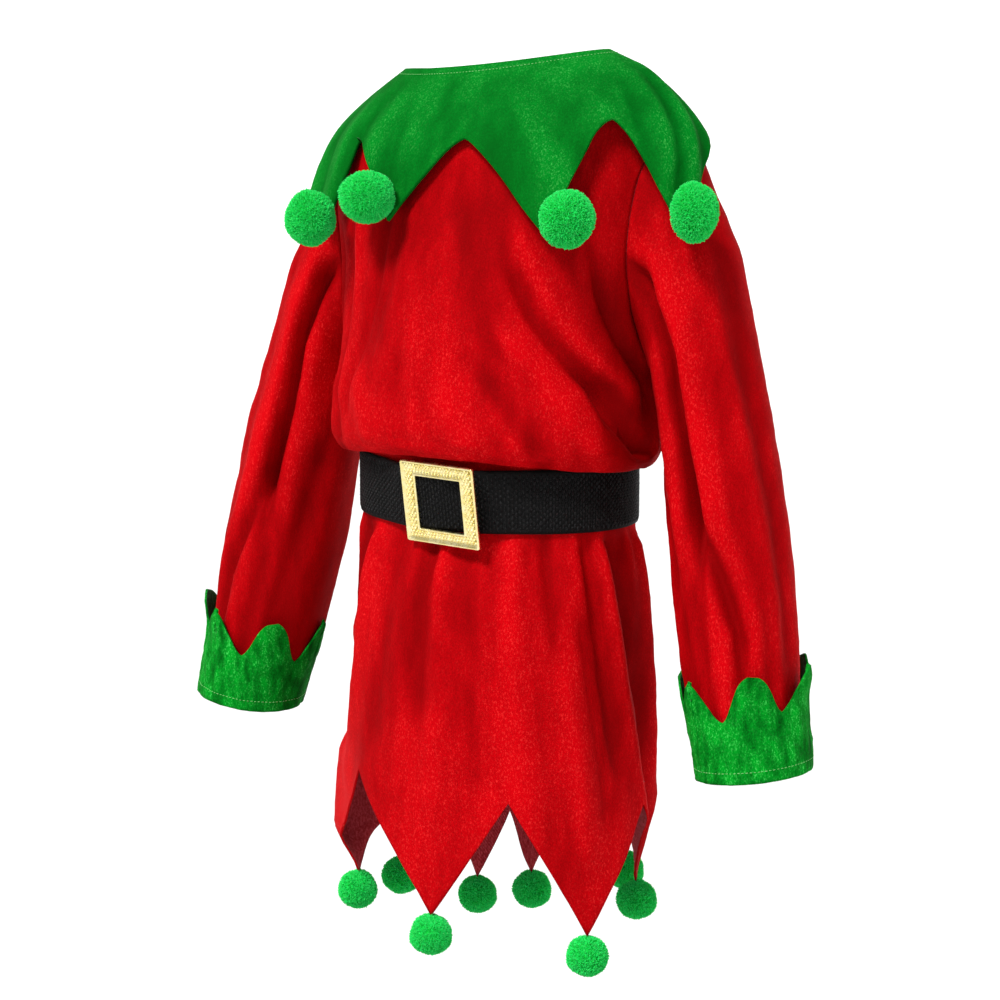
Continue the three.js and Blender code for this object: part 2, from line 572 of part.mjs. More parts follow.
// The buckle is one body: front frame, two short posts and the bar behind the band
function buckleSolid(wasm) {
  const frame = roundedRectangle(new THREE.Shape(), BUCKLE.width, BUCKLE.height, BUCKLE.round);
  frame.holes.push(roundedRectangle(new THREE.Path(), BUCKLE.window, BUCKLE.window, BUCKLE.windowRound));
  const front = new THREE.ExtrudeGeometry(frame, {
    depth: BUCKLE.thickness, bevelEnabled: false, curveSegments: 3,
  });
  const reach = BUCKLE_BAR.gap + BUCKLE_BAR.thickness;
  const length = BUCKLE.height - 2 * BUCKLE_BAR.inset;
  const bar = new THREE.BoxGeometry(BUCKLE_BAR.width, length, BUCKLE_BAR.thickness);
  bar.translate(0, 0, -reach + BUCKLE_BAR.thickness / 2);
  const solids = [front, bar];
  for (const end of [1, -1]) {
    const post = new THREE.BoxGeometry(BUCKLE_BAR.width, BUCKLE_BAR.post, reach + BUCKLE_BAR.root);
    post.translate(0, end * (length - BUCKLE_BAR.post) / 2, (BUCKLE_BAR.root - reach) / 2);
    solids.push(post);
  }
  return solids.map((solid) => toManifold(wasm, solid)).reduce((whole, next) => whole.add(next));
}

function toManifold(wasm, geometry) {
  geometry.deleteAttribute('normal');
  geometry.deleteAttribute('uv');
  const merged = BufferGeometryUtils.mergeVertices(geometry, MERGE);
  return new wasm.Manifold(new wasm.Mesh({
    numProp: 3, vertProperties: merged.getAttribute('position').array,
    triVerts: new Uint32Array(merged.getIndex().array),
  }));
}

function fromManifold(solid) {
  const mesh = solid.getMesh();
  const geometry = new THREE.BufferGeometry();
  geometry.setAttribute('position', new THREE.Float32BufferAttribute(mesh.vertProperties, 3));
  geometry.setIndex([...mesh.triVerts]);
  return geometry;
}

// A pompom round its own middle: a faceted core, some of whose faces are drawn out into pointed locks.
// None of them points at the cloth that carries it.
function pompomGeometry(radius, towardsCloth) {
  const core = new THREE.IcosahedronGeometry(radius, 1);
  core.deleteAttribute('normal');
  core.deleteAttribute('uv');
  const ball = BufferGeometryUtils.mergeVertices(core, MERGE);
  const positions = [...ball.getAttribute('position').array];
  const corner = (index) => new THREE.Vector3().fromArray(positions, index * 3);
  const faces = [];
  const source = ball.getIndex().array;
  for (let face = 0; face < source.length; face += 3) {
    const corners = [source[face], source[face + 1], source[face + 2]];
    const middle = corners.map(corner).reduce((sum, next) => sum.add(next)).divideScalar(3);
    faces.push({ corners, middle: middle.normalize(), lock: false });
  }
  const free = faces.filter((face) => face.middle.dot(towardsCloth) < POMPOM_BARE);
  for (let lock = 0; lock < POMPOM.locks; lock += 1) {
    const height = 1 - 2 * (lock + 0.5) / POMPOM.locks;
    const turn = lock * Math.PI * (3 - Math.sqrt(5));
    const flat = Math.sqrt(1 - height * height);
    const wanted = point(flat * Math.cos(turn), flat * Math.sin(turn), height);
    const open = free.filter((face) => !face.lock);
    open.sort((a, b) => b.middle.dot(wanted) - a.middle.dot(wanted));
    open[0].lock = true;
  }
  const index = [];
  for (const { corners: [a, b, c], middle, lock } of faces) {
    if (lock) {
      const end = positions.length / 3;
      positions.push(...middle.clone().multiplyScalar(radius + POMPOM.lock).toArray());
      index.push(a, b, end, b, c, end, c, a, end);
    } else {
      index.push(a, b, c);
    }
  }
  const geometry = new THREE.BufferGeometry();
  geometry.setAttribute('position', new THREE.Float32BufferAttribute(positions, 3));
  geometry.setIndex(index);
  return geometry;
}

// Front and back panels, which meet at the shoulder and side seams
const frontPanel = panelGrid(false);
const backPanel = panelGrid(true);
const frontInside = innerSide(frontPanel, 1, VELVET, panelSlope(backPanel));
const backInside = innerSide(backPanel, -1, VELVET, panelSlope(frontPanel));
add('front', wallGeometry(frontPanel, frontInside, false), redVelvet);
add('back', wallGeometry(backPanel, backInside, false), redVelvet);

// Sleeves and their turned-back cuffs
for (const [name, side] of [['left', 1], ['right', -1]]) {
  const sleeve = sleeveGrid(side, frontPanel, backPanel);
  const sleeveInside = innerSide(sleeve, -side, VELVET, roundAbout);
  sleeveInside[0].forEach((place, column) => {
    const inward = place.clone().sub(sleeve[0][column]).setX(0).setLength(VELVET);
    place.copy(sleeve[0][column]).add(inward);
  });
  add(`sleeve_${name}`, wallGeometry(sleeve, sleeveInside, true), redVelvet);
  const cuff = cuffGrid(side, CUFF_TURN[name]);
  add(`cuff_${name}`, wallGeometry(cuff, innerSide(cuff, side, VELVET, roundAbout), true), greenVelvet);
}

// Collar
const collar = collarGrid();
add('collar', wallGeometry(collar, innerSide(collar, 1, COLLAR_CLOTH, roundAbout), true), greenVelvet);

// Belt and buckle
const belt = beltGrid();
add('belt', wallGeometry(belt, innerSide(belt, 1, BELT.wall, roundAbout), true), blackElastic);
const wasm = await Module();
wasm.setup();
const buckle = add('buckle', fromManifold(buckleSolid(wasm)), goldBuckle);
buckle.position.set(BUCKLE.x, BUCKLE.y, BUCKLE.z);
buckle.rotation.set(radians(90 + BUCKLE.lean), radians(BUCKLE.swing), 0, 'YXZ');

// Pompoms on the collar's points
COLLAR_POINTS.forEach(({ name, swing, pompomShift, pompom: place, closer }, index) => {
  const turn = turnsOfCollar[(index + 0.5) * COLLAR_POINT_COLUMNS] + swing + pompomShift;
  const seat = collarPlace(turn, place);
  const acrossSlope = collarPlace(turn + SLOPE.turn, place).sub(collarPlace(turn - SLOPE.turn, place));
  const downSlope = collarPlace(turn, place + SLOPE.place).sub(collarPlace(turn, place - SLOPE.place));
  const outward = downSlope.cross(acrossSlope).normalize();
  const shape = pompomGeometry(POMPOM.collar, outward.clone().negate());
  const pompom = add(`pompom_collar_${name}`, shape, greenYarn);
  pompom.position.copy(seat.addScaledVector(outward, POMPOM.collar + SEAM - closer));
});

// Pompoms under the hem's points
HEM_POMPOMS.forEach((name, index) => {
  const pompom = add(name, pompomGeometry(POMPOM.hem, point(0, 0, 1)), greenYarn);
  const tip = point(...HEM[index].tip);
  pompom.position.set(tip.x, tip.y, tip.z - POMPOM.hem - SEAM);
});

export default costume;
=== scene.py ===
"""An elf costume, worn and hollow: a belted red velvet tunic with green collar, cuffs and pompoms."""

import math

import bmesh
import bpy
import numpy as np
from mathutils import Euler, Matrix, Vector, noise


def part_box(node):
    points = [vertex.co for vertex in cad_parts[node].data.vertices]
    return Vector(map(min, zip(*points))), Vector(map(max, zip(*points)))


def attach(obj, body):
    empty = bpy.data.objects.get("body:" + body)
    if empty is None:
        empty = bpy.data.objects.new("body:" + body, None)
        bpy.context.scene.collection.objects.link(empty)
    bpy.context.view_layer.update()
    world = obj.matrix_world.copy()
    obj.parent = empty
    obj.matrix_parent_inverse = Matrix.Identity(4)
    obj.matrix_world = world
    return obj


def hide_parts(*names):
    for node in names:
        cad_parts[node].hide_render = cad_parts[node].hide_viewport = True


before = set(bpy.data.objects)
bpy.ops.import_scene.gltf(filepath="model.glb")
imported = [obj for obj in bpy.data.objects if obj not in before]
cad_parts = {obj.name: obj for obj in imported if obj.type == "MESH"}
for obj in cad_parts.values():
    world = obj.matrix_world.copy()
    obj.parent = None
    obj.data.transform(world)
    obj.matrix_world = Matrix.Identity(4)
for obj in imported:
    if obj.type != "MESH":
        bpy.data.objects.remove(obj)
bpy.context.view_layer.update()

# Sizes below are millimetres; meshes are metres
MM = 0.001


def table(columns, *rows):
    """A table with named columns as a dictionary of arrays."""
    return {name: np.array(values, float) for name, values in zip(columns.split(), zip(*rows))}


# Cloth
VELVET = 1.8
COLLAR_CLOTH = 2.8
ARMHOLE_SEAM = 0.45
WELD = 0.02
# Two sets of small waves in each cloth: height, size and seed
WAVES = {
    "tunic": ((1.0, 26, 4), (0.35, 7, 9)),
    "sleeve": ((1.0, 24, 14), (0.35, 7, 19)),
    "cuff": ((1.1, 15, 24), (0.7, 5, 29)),
}
# Stitches: how far from the edge and how high on the pile, and their sizes
STITCH = {"width": 0.55, "height": 0.5, "uneven": 0.12}
STITCHES = {
    "cuff": {**STITCH, "inset": 9, "lift": 0.1, "pitch": 3.2, "length": 2.3, "seed": 11},
    "collar": {**STITCH, "inset": 6.5, "lift": 0.12, "pitch": 2.9, "length": 2.1, "seed": 12},
}

# The wearer's left shoulder is carried a little higher: rise per millimetre of x, fading out downwards
LEAN, LEAN_DEPTH, LEAN_MOST = 0.09, 260, 1.1

# Fineness: columns across a panel, and rows of the mesh for one row of the construction
PANEL_COLUMNS = 96
FINER = 4

# Tunic sections above the skirt, from the neck down, as half ovals
TUNIC = table(
    "x z seam_front seam_back front front_z back back_z wrap",
    (86, 1, 13, 13, -33, -3, 45, -4, 1),
    (115, -20, 14, 14, -52, -26, 62, -22, 1),
    (143, -48, 15, 15, -68, -58, 76, -50, 1),
    (137, -92, -22, 50, -85, -110, 88, -104, 0.7),
    (131, -145, -29, 57, -98, -156, 94, -150, 0.66),
    (133, -196, -20, 46, -106, -200, 97, -197, 0.76),
    (139, -244, 8, 8, -111, -244, 98, -244, 1),
    (141, -275, 0, 0, -113, -270, 98, -272, 1),
    (140, -297, 0, 0, -111, -287, 96, -292, 1),
    (133, -310, 0, 0, -104, -298, 92, -304, 1),
    (125, -306, 0, 0, -95, -296, 88, -300, 1),
    (119, -299, 0, 0, -87, -292, 85.5, -295, 1),
    (117, -305, 0, 0, -84.5, -303, 84.5, -303, 1),
)
TUNIC_STEPS = (2, 2, 3, 3, 3, 3, 2, 1, 1, 1, 1, 1, 1)
TUNIC_SHOULDER, TUNIC_ARMPIT, TUNIC_UNDER = 2, 6, 8
SHOULDER_TIP, ARMPIT = 4 * FINER, 16 * FINER

# Skirt ovals under the belt
SKIRT = table(
    "z x y",
    (-332, 117, 84.5), (-359, 117, 84.5), (-374, 119, 86), (-400, 124, 95),
    (-440, 128, 99), (-480, 131, 102), (-515, 134, 105), (-546, 136, 107),
)
HEM_SHARE, HEM_ROWS, SKIRT_STEPS = 0.75, 24, 6
FLARE_START, FLARE_EASE = 1, 1.4

# The hem in plan, from under the middle of the front towards the wearer's left: each point's end, then the
# notch that follows it
HEM = table(
    "x y z",
    (4, -110, -664), (67, -96, -566),
    (117, -58, -677), (138, -8, -578),
    (104, 48, -663), (108, 77, -580),
    (66, 97, -657), (18, 114, -604),
    (-30, 107, -693), (-50, 104, -640),
    (-76, 92, -701), (-108, 82, -606),
    (-125, 46, -679), (-108, 30, -618),
    (-137, -4, -680), (-76, -92, -559),
)

# Creases of the tunic: from one place to another by turn from the front and height, depth outwards, half
# width, and how much steeper one side is than the other
CREASES = table(
    "turn z turn_end z_end depth width steep",
    (42, -172, 64, -258, -7, 8, 0.4),
    (64, -258, 82, -296, -8, 7, 0.4),
    (40, -132, 70, -245, 5.5, 8, 0.3),
    (36, -216, 60, -298, 6, 8, 0.3),
    (60, -246, 84, -298, -7, 5, 0.4),
    (22, -236, 40, -296, -4.5, 7, 0.3),
    (59, -66, 78, -180, -4, 6, 0.3),
    (78, -180, 83, -252, -5, 6, 0.2),
    (61, -69, 71, -145, 3, 6, 0),
    (-27, -71, -40, -266, -4.5, 7, 0.3),
    (-18, -84, -31, -211, -3.5, 6, 0.2),
    (-22, -90, -35, -250, 2.5, 5, 0),
    (-62, -110, -50, -262, -4, 8, 0.2),
    (-50, -130, -46, -250, 3, 7, 0),
    (-76, -150, -70, -285, -4.5, 7, 0.2),
    (12, -120, 28, -205, -3, 9, 0),
    (-12, -235, -8, -290, -3.5, 7, 0),
    (8, -240, 14, -292, 3, 7, 0),
    (0, -262, 3, -294, -2.5, 5, 0),
    (-30, -252, -26, -294, 2.8, 7, 0),
    (-52, -262, -50, -294, -2.5, 6, 0),
    (196, -120, 210, -280, -4, 12, 0.2),
    (162, -140, 140, -285, -4, 12, 0.2),
    (178, -90, 176, -200, 2, 12, 0),
    (222, -150, 236, -290, 3, 10, 0),
    (136, -120, 122, -280, 3, 10, 0),
    (184, -240, 190, -295, -3, 8, 0),
    (152, -246, 150, -295, 3, 8, 0),
    (-74, -362, -76, -560, -5, 8, 0.2),
    (-62, -362, -60, -520, 3, 7, 0),
    (-48, -362, -46, -560, -5, 7, 0.2),
    (-34, -362, -34, -570, 4.5, 8, 0),
    (-20, -362, -20, -520, -4, 7, 0.2),
    (-5, -362, -5, -484, -5, 7, 0.2),
    (1, -400, 1, -560, 3.5, 7, 0),
    (13, -480, 14, -540, -3.5, 6, 0),
    (12, -362, 13, -430, -3, 6, 0),
    (28, -362, 29, -580, 5, 8, 0),
    (42, -362, 43, -440, -5, 6, 0.2),
    (44, -450, 46, -600, 4, 7, 0),
    (60, -362, 60, -535, -6.5, 6, 0.4),
    (54, -440, 54, -570, -3.5, 5, 0.2),
    (68, -380, 71, -600, 4.5, 6, 0),
    (75, -362, 78, -451, -12, 7, 0.5),
    (78, -451, 84, -507, -13, 7, 0.5),
    (84, -507, 86, -600, -12, 8, 0.4),
    (98, -362, 100, -560, 5, 9, 0),
    (-84, -362, -86, -560, 3, 8, 0),
    (-66, -470, -50, -634, 10, 24, 0),
    (-50, -575, -47, -636, 14, 20, 0),
    (112, -362, 114, -560, -8, 10, 0.2),
    (130, -362, 133, -560, 4, 9, 0),
    (150, -362, 152, -560, -8, 10, 0.2),
    (168, -362, 166, -560, 4, 8, 0),
    (184, -362, 184, -560, -7, 10, 0.2),
    (204, -362, 202, -560, 4, 9, 0),
    (222, -362, 222, -560, -8, 10, 0.2),
    (236, -362, 236, -560, 3.5, 8, 0),
    (250, -362, 250, -560, -7, 10, 0.2),
)
CREASE_RADIUS, CREASE_END = 105, 22
# Small gathers at the belt: how many round the waist, how deep, and the heights where they start and die out
GATHERS = table("count depth top fade", (26, 2.2, -362, -46), (38, 1.2, -362, -26), (24, 1.8, -294, 26))

# Painted light and shade on the tunic: places painted lighter or darker, by turn and height, and how far each
# place reaches
PAINTED_SHADING_ZONES = table(
    "turn z reach_turn reach_z value",
    (-72, -250, 22, 130, 0.3),
    (-12, -272, 28, 34, 0.35),
    (44, -205, 13, 60, 0.5),
    (62, -120, 11, 50, -0.5),
    (76, -282, 12, 50, -0.6),
    (14, -130, 30, 60, -0.35),
    (87, -480, 14, 170, -0.9),
    (26, -530, 34, 90, 0.4),
    (-30, -560, 24, 70, 0.3),
    (-4, -430, 9, 60, -0.4),
    (60, -430, 8, 70, -0.4),
)
# Depth of a fold at which its painted shade is darkest
FOLD_SHADE_DEPTH = {"tunic": 5, "sleeve": 5, "collar": 3}
# Painted shade laid over the whole far sleeve
FAR_SLEEVE_SHADE = -0.35

# Left sleeve rings after the armhole: outer and inner point in x and z, middle and half depth in y, and how
# much less far out the right sleeve goes
SLEEVE = table(
    "outer_x outer_z inner_x inner_z y depth slim",
    (161, -67, 142, -251, 14, 45, 6),
    (180, -103, 144.5, -261, 13, 47, 9),
    (203, -148, 146, -276, 12, 47, 9),
    (216, -198, 147.5, -297, 11, 46, 7),
    (229, -248, 150, -323, 9, 45, 4),
    (241, -298, 155, -354, 7, 46, 1),
    (251, -348, 160, -389, 5, 46, 0),
    (260, -398, 167, -426, 0, 46, -2),
    (266, -446, 176, -464, -5, 45, -2),
    (270, -480, 183.5, -494, -10, 42, 0),
    (276, -508, 191, -521, -13, 40.5, 0),
    (279.5, -523, 196, -536, -15, 40, 0),
)
SLEEVE_STEPS = 8
# Sleeve creases by ring and turn (0 outside, 90 front), half width in radians
SLEEVE_CREASES = table(
    "ring turn ring_end turn_end depth width",
    (0.6, 99, 6.1, 94, -17, 0.1),
    (1, 84, 6.1, 81, 5, 0.13),
    (6.1, 94, 8.4, 62, -9, 0.12),
    (1.5, 120, 6, 114, 3.5, 0.2),
    (2, 72, 6.4, 68, 3.5, 0.2),
    (6.3, 70, 8.4, 44, 3, 0.16),
    (3.5, 24, 8.5, 8, -4, 0.2),
    (3, 42, 8, 26, 2.5, 0.18),
    (4.5, 150, 9, 124, -4, 0.22),
    (7.5, 88, 11, 66, 2.5, 0.2),
    (8.2, 104, 12, 92, -3.5, 0.16),
    (8.8, 34, 12, 28, -3.5, 0.15),
    (9.6, 140, 12, 146, -3, 0.18),
    (2, 260, 8, 240, -5, 0.35),
    (3, 315, 8, 300, -4, 0.32),
    (5, 215, 10, 205, 3, 0.25),
    (9.3, 255, 12, 262, -3, 0.18),
    (9.5, 318, 12, 312, -2.5, 0.16),
)

# Cuff rings from the lower edge to the ends of its points
CUFF = table(
    "outer_x outer_z inner_x inner_z y depth",
    (284, -529, 193.5, -542, -15, 44),
    (281, -504, 188, -521, -12.5, 45.5),
    (277.5, -479, 181.5, -500, -10, 47),
    (278, -461, 176, -481, -8, 50),
    (279, -446, 171, -465, -7, 53),
)
CUFF_NOTCH, CUFF_POINTS, CUFF_ROWS, CUFF_POINT_COLUMNS = 2, 6, 26, 24
CUFF_TURN = {"left": 59, "right": 132}
# How far its points stand off and its valleys lie close, and how round points and valleys are
CUFF_FLUTE, CUFF_ROUNDING = 4, 0.6
# How far each point leans round the cuff, in degrees, and its height
CUFF_LEAN = table(
    "lean height",
    (3, 1.0), (-4, 0.93), (4, 0.98), (-2, 0.95), (4, 1.0), (-4, 0.96),
)

# Collar sections from the neck down, each an oval
COLLAR = table(
    "x shift front back side_z front_z back_z",
    (90, 1, -38, 50, 4, 0, -1),
    (121, 4, -57, 68, -14, -24, -20),
    (151, 4, -74, 83, -40, -51, -44),
    (170, 6, -86, 93, -67, -82, -75),
    (182, 6, -97, 101, -96, -114, -106),
    (196, 6, -106, 107, -124, -146, -138),
)
COLLAR_SHOULDER, COLLAR_MIDDLE, COLLAR_NOTCH, COLLAR_GIRTH = 13, 6, 2.15, 3
# The collar's points from the front towards the wearer's left: how far each reaches and swings, how far
# the notch before it swings, and how hollow the edges before and after it are
COLLAR_POINTS = table(
    "reach swing notch before after",
    (4.7, -2, -2, 1.3, 1.8), (4.9, -33, -7, 2.1, 2.1), (4.5, 0, 0, 1.4, 1.4), (4.5, 0, 0, 1.4, 1.4),
    (4.8, 36, 0, 1.4, 1.4), (4.1, 2, 3, 1.4, 1.5),
)
COLLAR_POINT_COLUMNS, COLLAR_ROWS, COLLAR_MEASURES = 32, 44, 1440
# Collar creases by turn and section
COLLAR_CREASES = table(
    "turn place turn_end place_end depth width",
    (20, 0.6, 36, 4.4, 2.4, 0.08),
    (32, 1.0, 44, 4.2, -2.6, 0.06),
    (8, 0.9, 16, 3.4, -1.8, 0.06),
    (50, 0.8, 52, 3.2, 2.2, 0.06),
    (66, 0.8, 57, 3.9, -3.0, 0.05),
    (76, 0.9, 62, 4.6, 3.6, 0.06),
    (84, 0.9, 66, 4.7, -5.0, 0.05),
    (94, 0.6, 71, 4.5, 4.0, 0.07),
    (104, 0.8, 80, 4.2, -3.5, 0.07),
    (-20, 0.9, -20, 3.4, -1.8, 0.06),
    (-33, 0.7, -28, 3.8, 2.4, 0.06),
    (-42, 0.8, -36, 3.6, -3.0, 0.05),
    (-54, 0.9, -44, 3.2, 2.2, 0.05),
    (-66, 0.8, -50, 4.2, -2.6, 0.06),
    (-80, 0.7, -56, 4.4, 2.6, 0.07),
    (140, 0.8, 136, 4.2, 2.5, 0.1),
    (168, 0.7, 160, 3.8, -2.2, 0.08),
    (205, 0.8, 212, 4.2, 2.5, 0.1),
    (232, 0.8, 236, 3.8, -2.5, 0.08),
)

# Belt and buckle
BELT = {"x": 117.4, "y": 84.9, "top": -307, "bottom": -357, "wall": 2}
BELT_BULGE = {"turn": 3, "width": 26, "top": 14, "bottom": 5.2, "power": 4}
BUCKLE = {
    "width": 70, "height": 66, "window": 43, "thickness": 3, "round": 1.6, "window_round": 0.8,
    "place": (7, -96.9, -335), "swing": -5, "lean": 10,
}
BUCKLE_BAR = {"width": 12, "thickness": 1.4, "gap": 3.7, "post": 3, "inset": 1, "root": 0.5, "round": 0.3}
# Across the buckle's frame: share of the way from its outer to its inner edge, and how far below its top
BUCKLE_PROFILE = (
    (0, 3), (0, 0.6), (0.02, 0.1), (0.06, 0), (0.11, 0), (0.15, 0.3), (0.17, 0.9), (0.5, 0.8),
    (0.82, 0.9), (0.85, 0.3), (0.88, 0), (0.94, 0), (0.98, 0.2), (1, 0.7), (1, 3),
)
EMBOSSING = {
    "pitch": 2.9, "row": 2.5, "margin": 3.1, "window_margin": 2.7, "sunk": 0.85, "slant": 0.25,
    "length": 3.1, "width": 1.8, "height": 1.7, "uneven": 0.1, "seed": 3,
}
BAND_ROWS, BAND_COLUMNS = 15, 240
RIBS = {
    "pitch": 2.5, "step": 4.6, "inset": 2.6,
    "length": 4.7, "width": 1.9, "height": 1.8, "uneven": 0.14, "seed": 5,
}

# Pompoms: radius, number of strands and first seed, then as shares of the radius where the strands start,
# how lumpy they are and how long; width of a strand, and how far it tilts
COLLAR_POMPOM = {"radius": 21.5, "strands": 7600, "seed": 20}
HEM_POMPOM = {"radius": 17, "strands": 5200, "seed": 40}
POMPOM = {"core": 0.88, "lumps": 0.08, "strand": 0.15, "strand_width": 0.95, "tilt": 0.9}
# How each collar pompom is stretched along x, y and z
COLLAR_POMPOMS = {
    "front_left": (1, 1, 1.02), "left": (0.84, 0.9, 1.06), "back_left": (1, 0.95, 1),
    "back_right": (0.98, 1, 1), "right": (0.95, 0.9, 1.06), "front_right": (1.02, 1, 0.97),
}
HEM_POMPOMS = ("front", "front_left", "left", "back_left", "back", "back_right", "right", "front_right")
HEM_POMPOM_SHAPE = (1, 1, 0.98)

# Camera: round to the wearer's left and up in degrees, distance and target in metres
CAMERA = {"azimuth": 31.0, "elevation": 10.0, "distance": 2.2, "target": (0, 0, -0.347)}
LENS, SENSOR, SHIFT = 98.26, 36.0, 0.002
# Light in degrees and strength; the floor in metres, as a bowl that starts flat and rises all round
KEY_LIGHT = {"azimuth": -10, "elevation": 52, "spread": 14, "strength": 3.1}
SKY_LIGHT = 0.36
FLOOR_HEIGHT, FLOOR_SIDES = -1.15, 96
FLOOR_PROFILE = ((0.5, 0), (9, 0), (10.2, 0.15), (11.2, 0.6), (11.8, 1.4), (12, 2.6), (12, 5))


def bend(start, end, slope_in, slope_out, t):
    """A smooth curve from start to end with a slope at each, at the share t of the way."""
    cube = 2 * start - 2 * end + slope_in + slope_out
    square = 3 * (end - start) - 2 * slope_in - slope_out
    return ((cube * t + square) * t + slope_in) * t + start


def smooth_along(values, place):
    """Values at places between rows of a column, or of an array of points, on a smooth curve through them."""
    place = np.asarray(place, float)
    last = len(values) - 1
    row = np.clip(np.floor(place).astype(int), 0, last - 1)
    t = (place - row).reshape(place.shape + (1,) * (values.ndim - 1))
    before, start, end, after = (values[np.clip(row + step, 0, last)] for step in (-1, 0, 1, 2))
    first = (row == 0).reshape(t.shape)
    final = (row + 1 == last).reshape(t.shape)
    slope_in = np.where(first, end - start, (end - before) / 2)
    slope_out = np.where(final, end - start, (after - start) / 2)
    return bend(start, end, slope_in, slope_out, t)


def section(rows, place):
    """A section of a table at places between its rows."""
    return {name: smooth_along(values, place) for name, values in rows.items()}


def crease_rows(rows):
    """The rows of a table of creases, one dictionary each."""
    return [dict(zip(rows, values)) for values in zip(*rows.values())]


def leaned(places):
    """Raises what is high up towards the wearer's left."""
    fade = np.clip(1 + places[..., 2] / LEAN_DEPTH, 0, LEAN_MOST)
    places = places.copy()
    places[..., 2] += places[..., 0] * LEAN * fade
    return places


def around(turn, middle):
    """Difference of two turns in degrees, from -180 to 180."""
    return (turn - middle + 180) % 360 - 180


def soft_ditch(side, width, steep):
    """Cross-section of a crease: a soft hollow, with one side steeper where the cloth falls over."""
    skewed = side / width * (1 + steep * np.tanh(side / width))
    return np.exp(-skewed ** 2)


def crease_depth(turn, z):
    """How far the creases push a place of the tunic outwards."""
    depth = np.zeros(np.broadcast(turn, z).shape)
    for crease in crease_rows(CREASES):
        span_x = math.radians(crease["turn_end"] - crease["turn"]) * CREASE_RADIUS
        span_z = crease["z_end"] - crease["z"]
        off_x = np.radians(around(turn, crease["turn"])) * CREASE_RADIUS
        off_z = z - crease["z"]
        length = math.hypot(span_x, span_z)
        run = (off_x * span_x + off_z * span_z) / length
        side = (off_x * span_z - off_z * span_x) / length
        past = np.maximum(0, np.maximum(-run, run - length))
        profile = soft_ditch(side, crease["width"], crease["steep"])
        depth += crease["depth"] * profile * np.exp(-(past / CREASE_END) ** 2)
    for gather in crease_rows(GATHERS):
        wander = 1.1 * np.sin(np.radians(turn) * 3) + 0.7 * np.sin(np.radians(turn) * 7 + 1)
        swell = 0.6 + 0.4 * np.sin(np.radians(turn) * 5 + gather["count"])
        share = (z - gather["top"]) / gather["fade"]
        near = np.exp(-np.clip(share, 0, None) ** 2) * (share > -0.9)
        depth += gather["depth"] * np.sin(np.radians(turn) * gather["count"] + wander) * swell * near
    return depth


def painted_shading_of(turn, z):
    """Painted light and shade on the tunic, from -1 to 1: painted shade in its folds, painted light on its
    ridges, and both at the places above.
    """
    painted_shading = crease_depth(turn, z) / FOLD_SHADE_DEPTH["tunic"]
    for zone in crease_rows(PAINTED_SHADING_ZONES):
        off = around(turn, zone["turn"]) / zone["reach_turn"]
        painted_shading = painted_shading + zone["value"] * np.exp(-off ** 2 - ((z - zone["z"]) / zone["reach_z"]) ** 2)
    return np.clip(painted_shading, -1, 1)


def pushed(places, distance):
    """Moves places away from the tunic's upright middle line."""
    reach = np.hypot(places[..., 0], places[..., 1])
    moved = places.copy()
    moved[..., :2] *= (1 + distance / reach)[..., None]
    return moved


def panel_turn(back, across):
    """Turn from the front in degrees of a place across a panel, from -1 to 1 between its side seams."""
    return 180 - across * 90 if back else across * 90


def tunic_places(back, place, across):
    """Places of a tunic panel above the skirt, rows by columns."""
    s = {name: values[:, None] for name, values in section(TUNIC, place).items()}
    place, across = place[:, None], across[None, :]
    own, middle, middle_z = (s["seam_back"], s["back"], s["back_z"]) if back else (
        s["seam_front"], s["front"], s["front_z"])
    armhole = (place > TUNIC_SHOULDER) & (place < TUNIC_ARMPIT)
    edge = np.where(armhole, own, (s["seam_front"] + s["seam_back"]) / 2)
    wrap = s["wrap"] * math.pi / 2
    angle = across * wrap
    inward = (np.cos(angle) - np.cos(wrap)) / (1 - np.cos(wrap))
    sideways = np.sin(angle) / np.sin(wrap)
    z = middle_z + (s["z"] - middle_z) * sideways ** 2
    flat = np.stack([s["x"] * sideways, edge + (middle - edge) * inward, z], -1)
    depth = np.where(place > TUNIC_UNDER, 0, crease_depth(panel_turn(back, across), z))
    return leaned(pushed(flat, depth))


def hem_places(turn):
    """The hem's edge by turn: its plan is a closed smooth curve, and its height runs straight."""
    count = len(HEM["x"])
    station = turn / 360 * count % count
    index = np.floor(station).astype(int)
    t = (station - index)[..., None]
    plan = np.stack([HEM["x"], HEM["y"]], -1)
    before, start, end, after = (plan[(index + step) % count] for step in (-1, 0, 1, 2))
    across = bend(start, end, (end - before) / 2, (after - start) / 2, t)
    height = HEM["z"][index] * (1 - t[..., 0]) + HEM["z"][(index + 1) % count] * t[..., 0]
    return np.concatenate([across, height[..., None]], -1)


def skirt_places(turn, place):
    """Places of the skirt, rows by columns."""
    last = len(SKIRT["z"]) - 1
    oval = {name: values[:, None] for name, values in section(SKIRT, np.minimum(place, last)).items()}
    place, turn = place[:, None], turn[None, :]
    end = hem_places(np.broadcast_to(turn, (place.shape[0], turn.shape[1])))
    run = np.clip((place - FLARE_START) / (last - FLARE_START), 0, 1)
    down = np.maximum(0, place - last)
    blend = HEM_SHARE * run ** FLARE_EASE * (1 - down) + down
    flat_x = oval["x"] * np.sin(np.radians(turn))
    flat_y = -oval["y"] * np.cos(np.radians(turn))
    x = flat_x * (1 - blend) + end[..., 0] * blend
    y = flat_y * (1 - blend) + end[..., 1] * blend
    z = oval["z"] * (1 - down) + end[..., 2] * down
    fade = np.clip(place - FLARE_START, 0, 1)
    return pushed(np.stack([x, y, z], -1), crease_depth(turn, z) * fade)


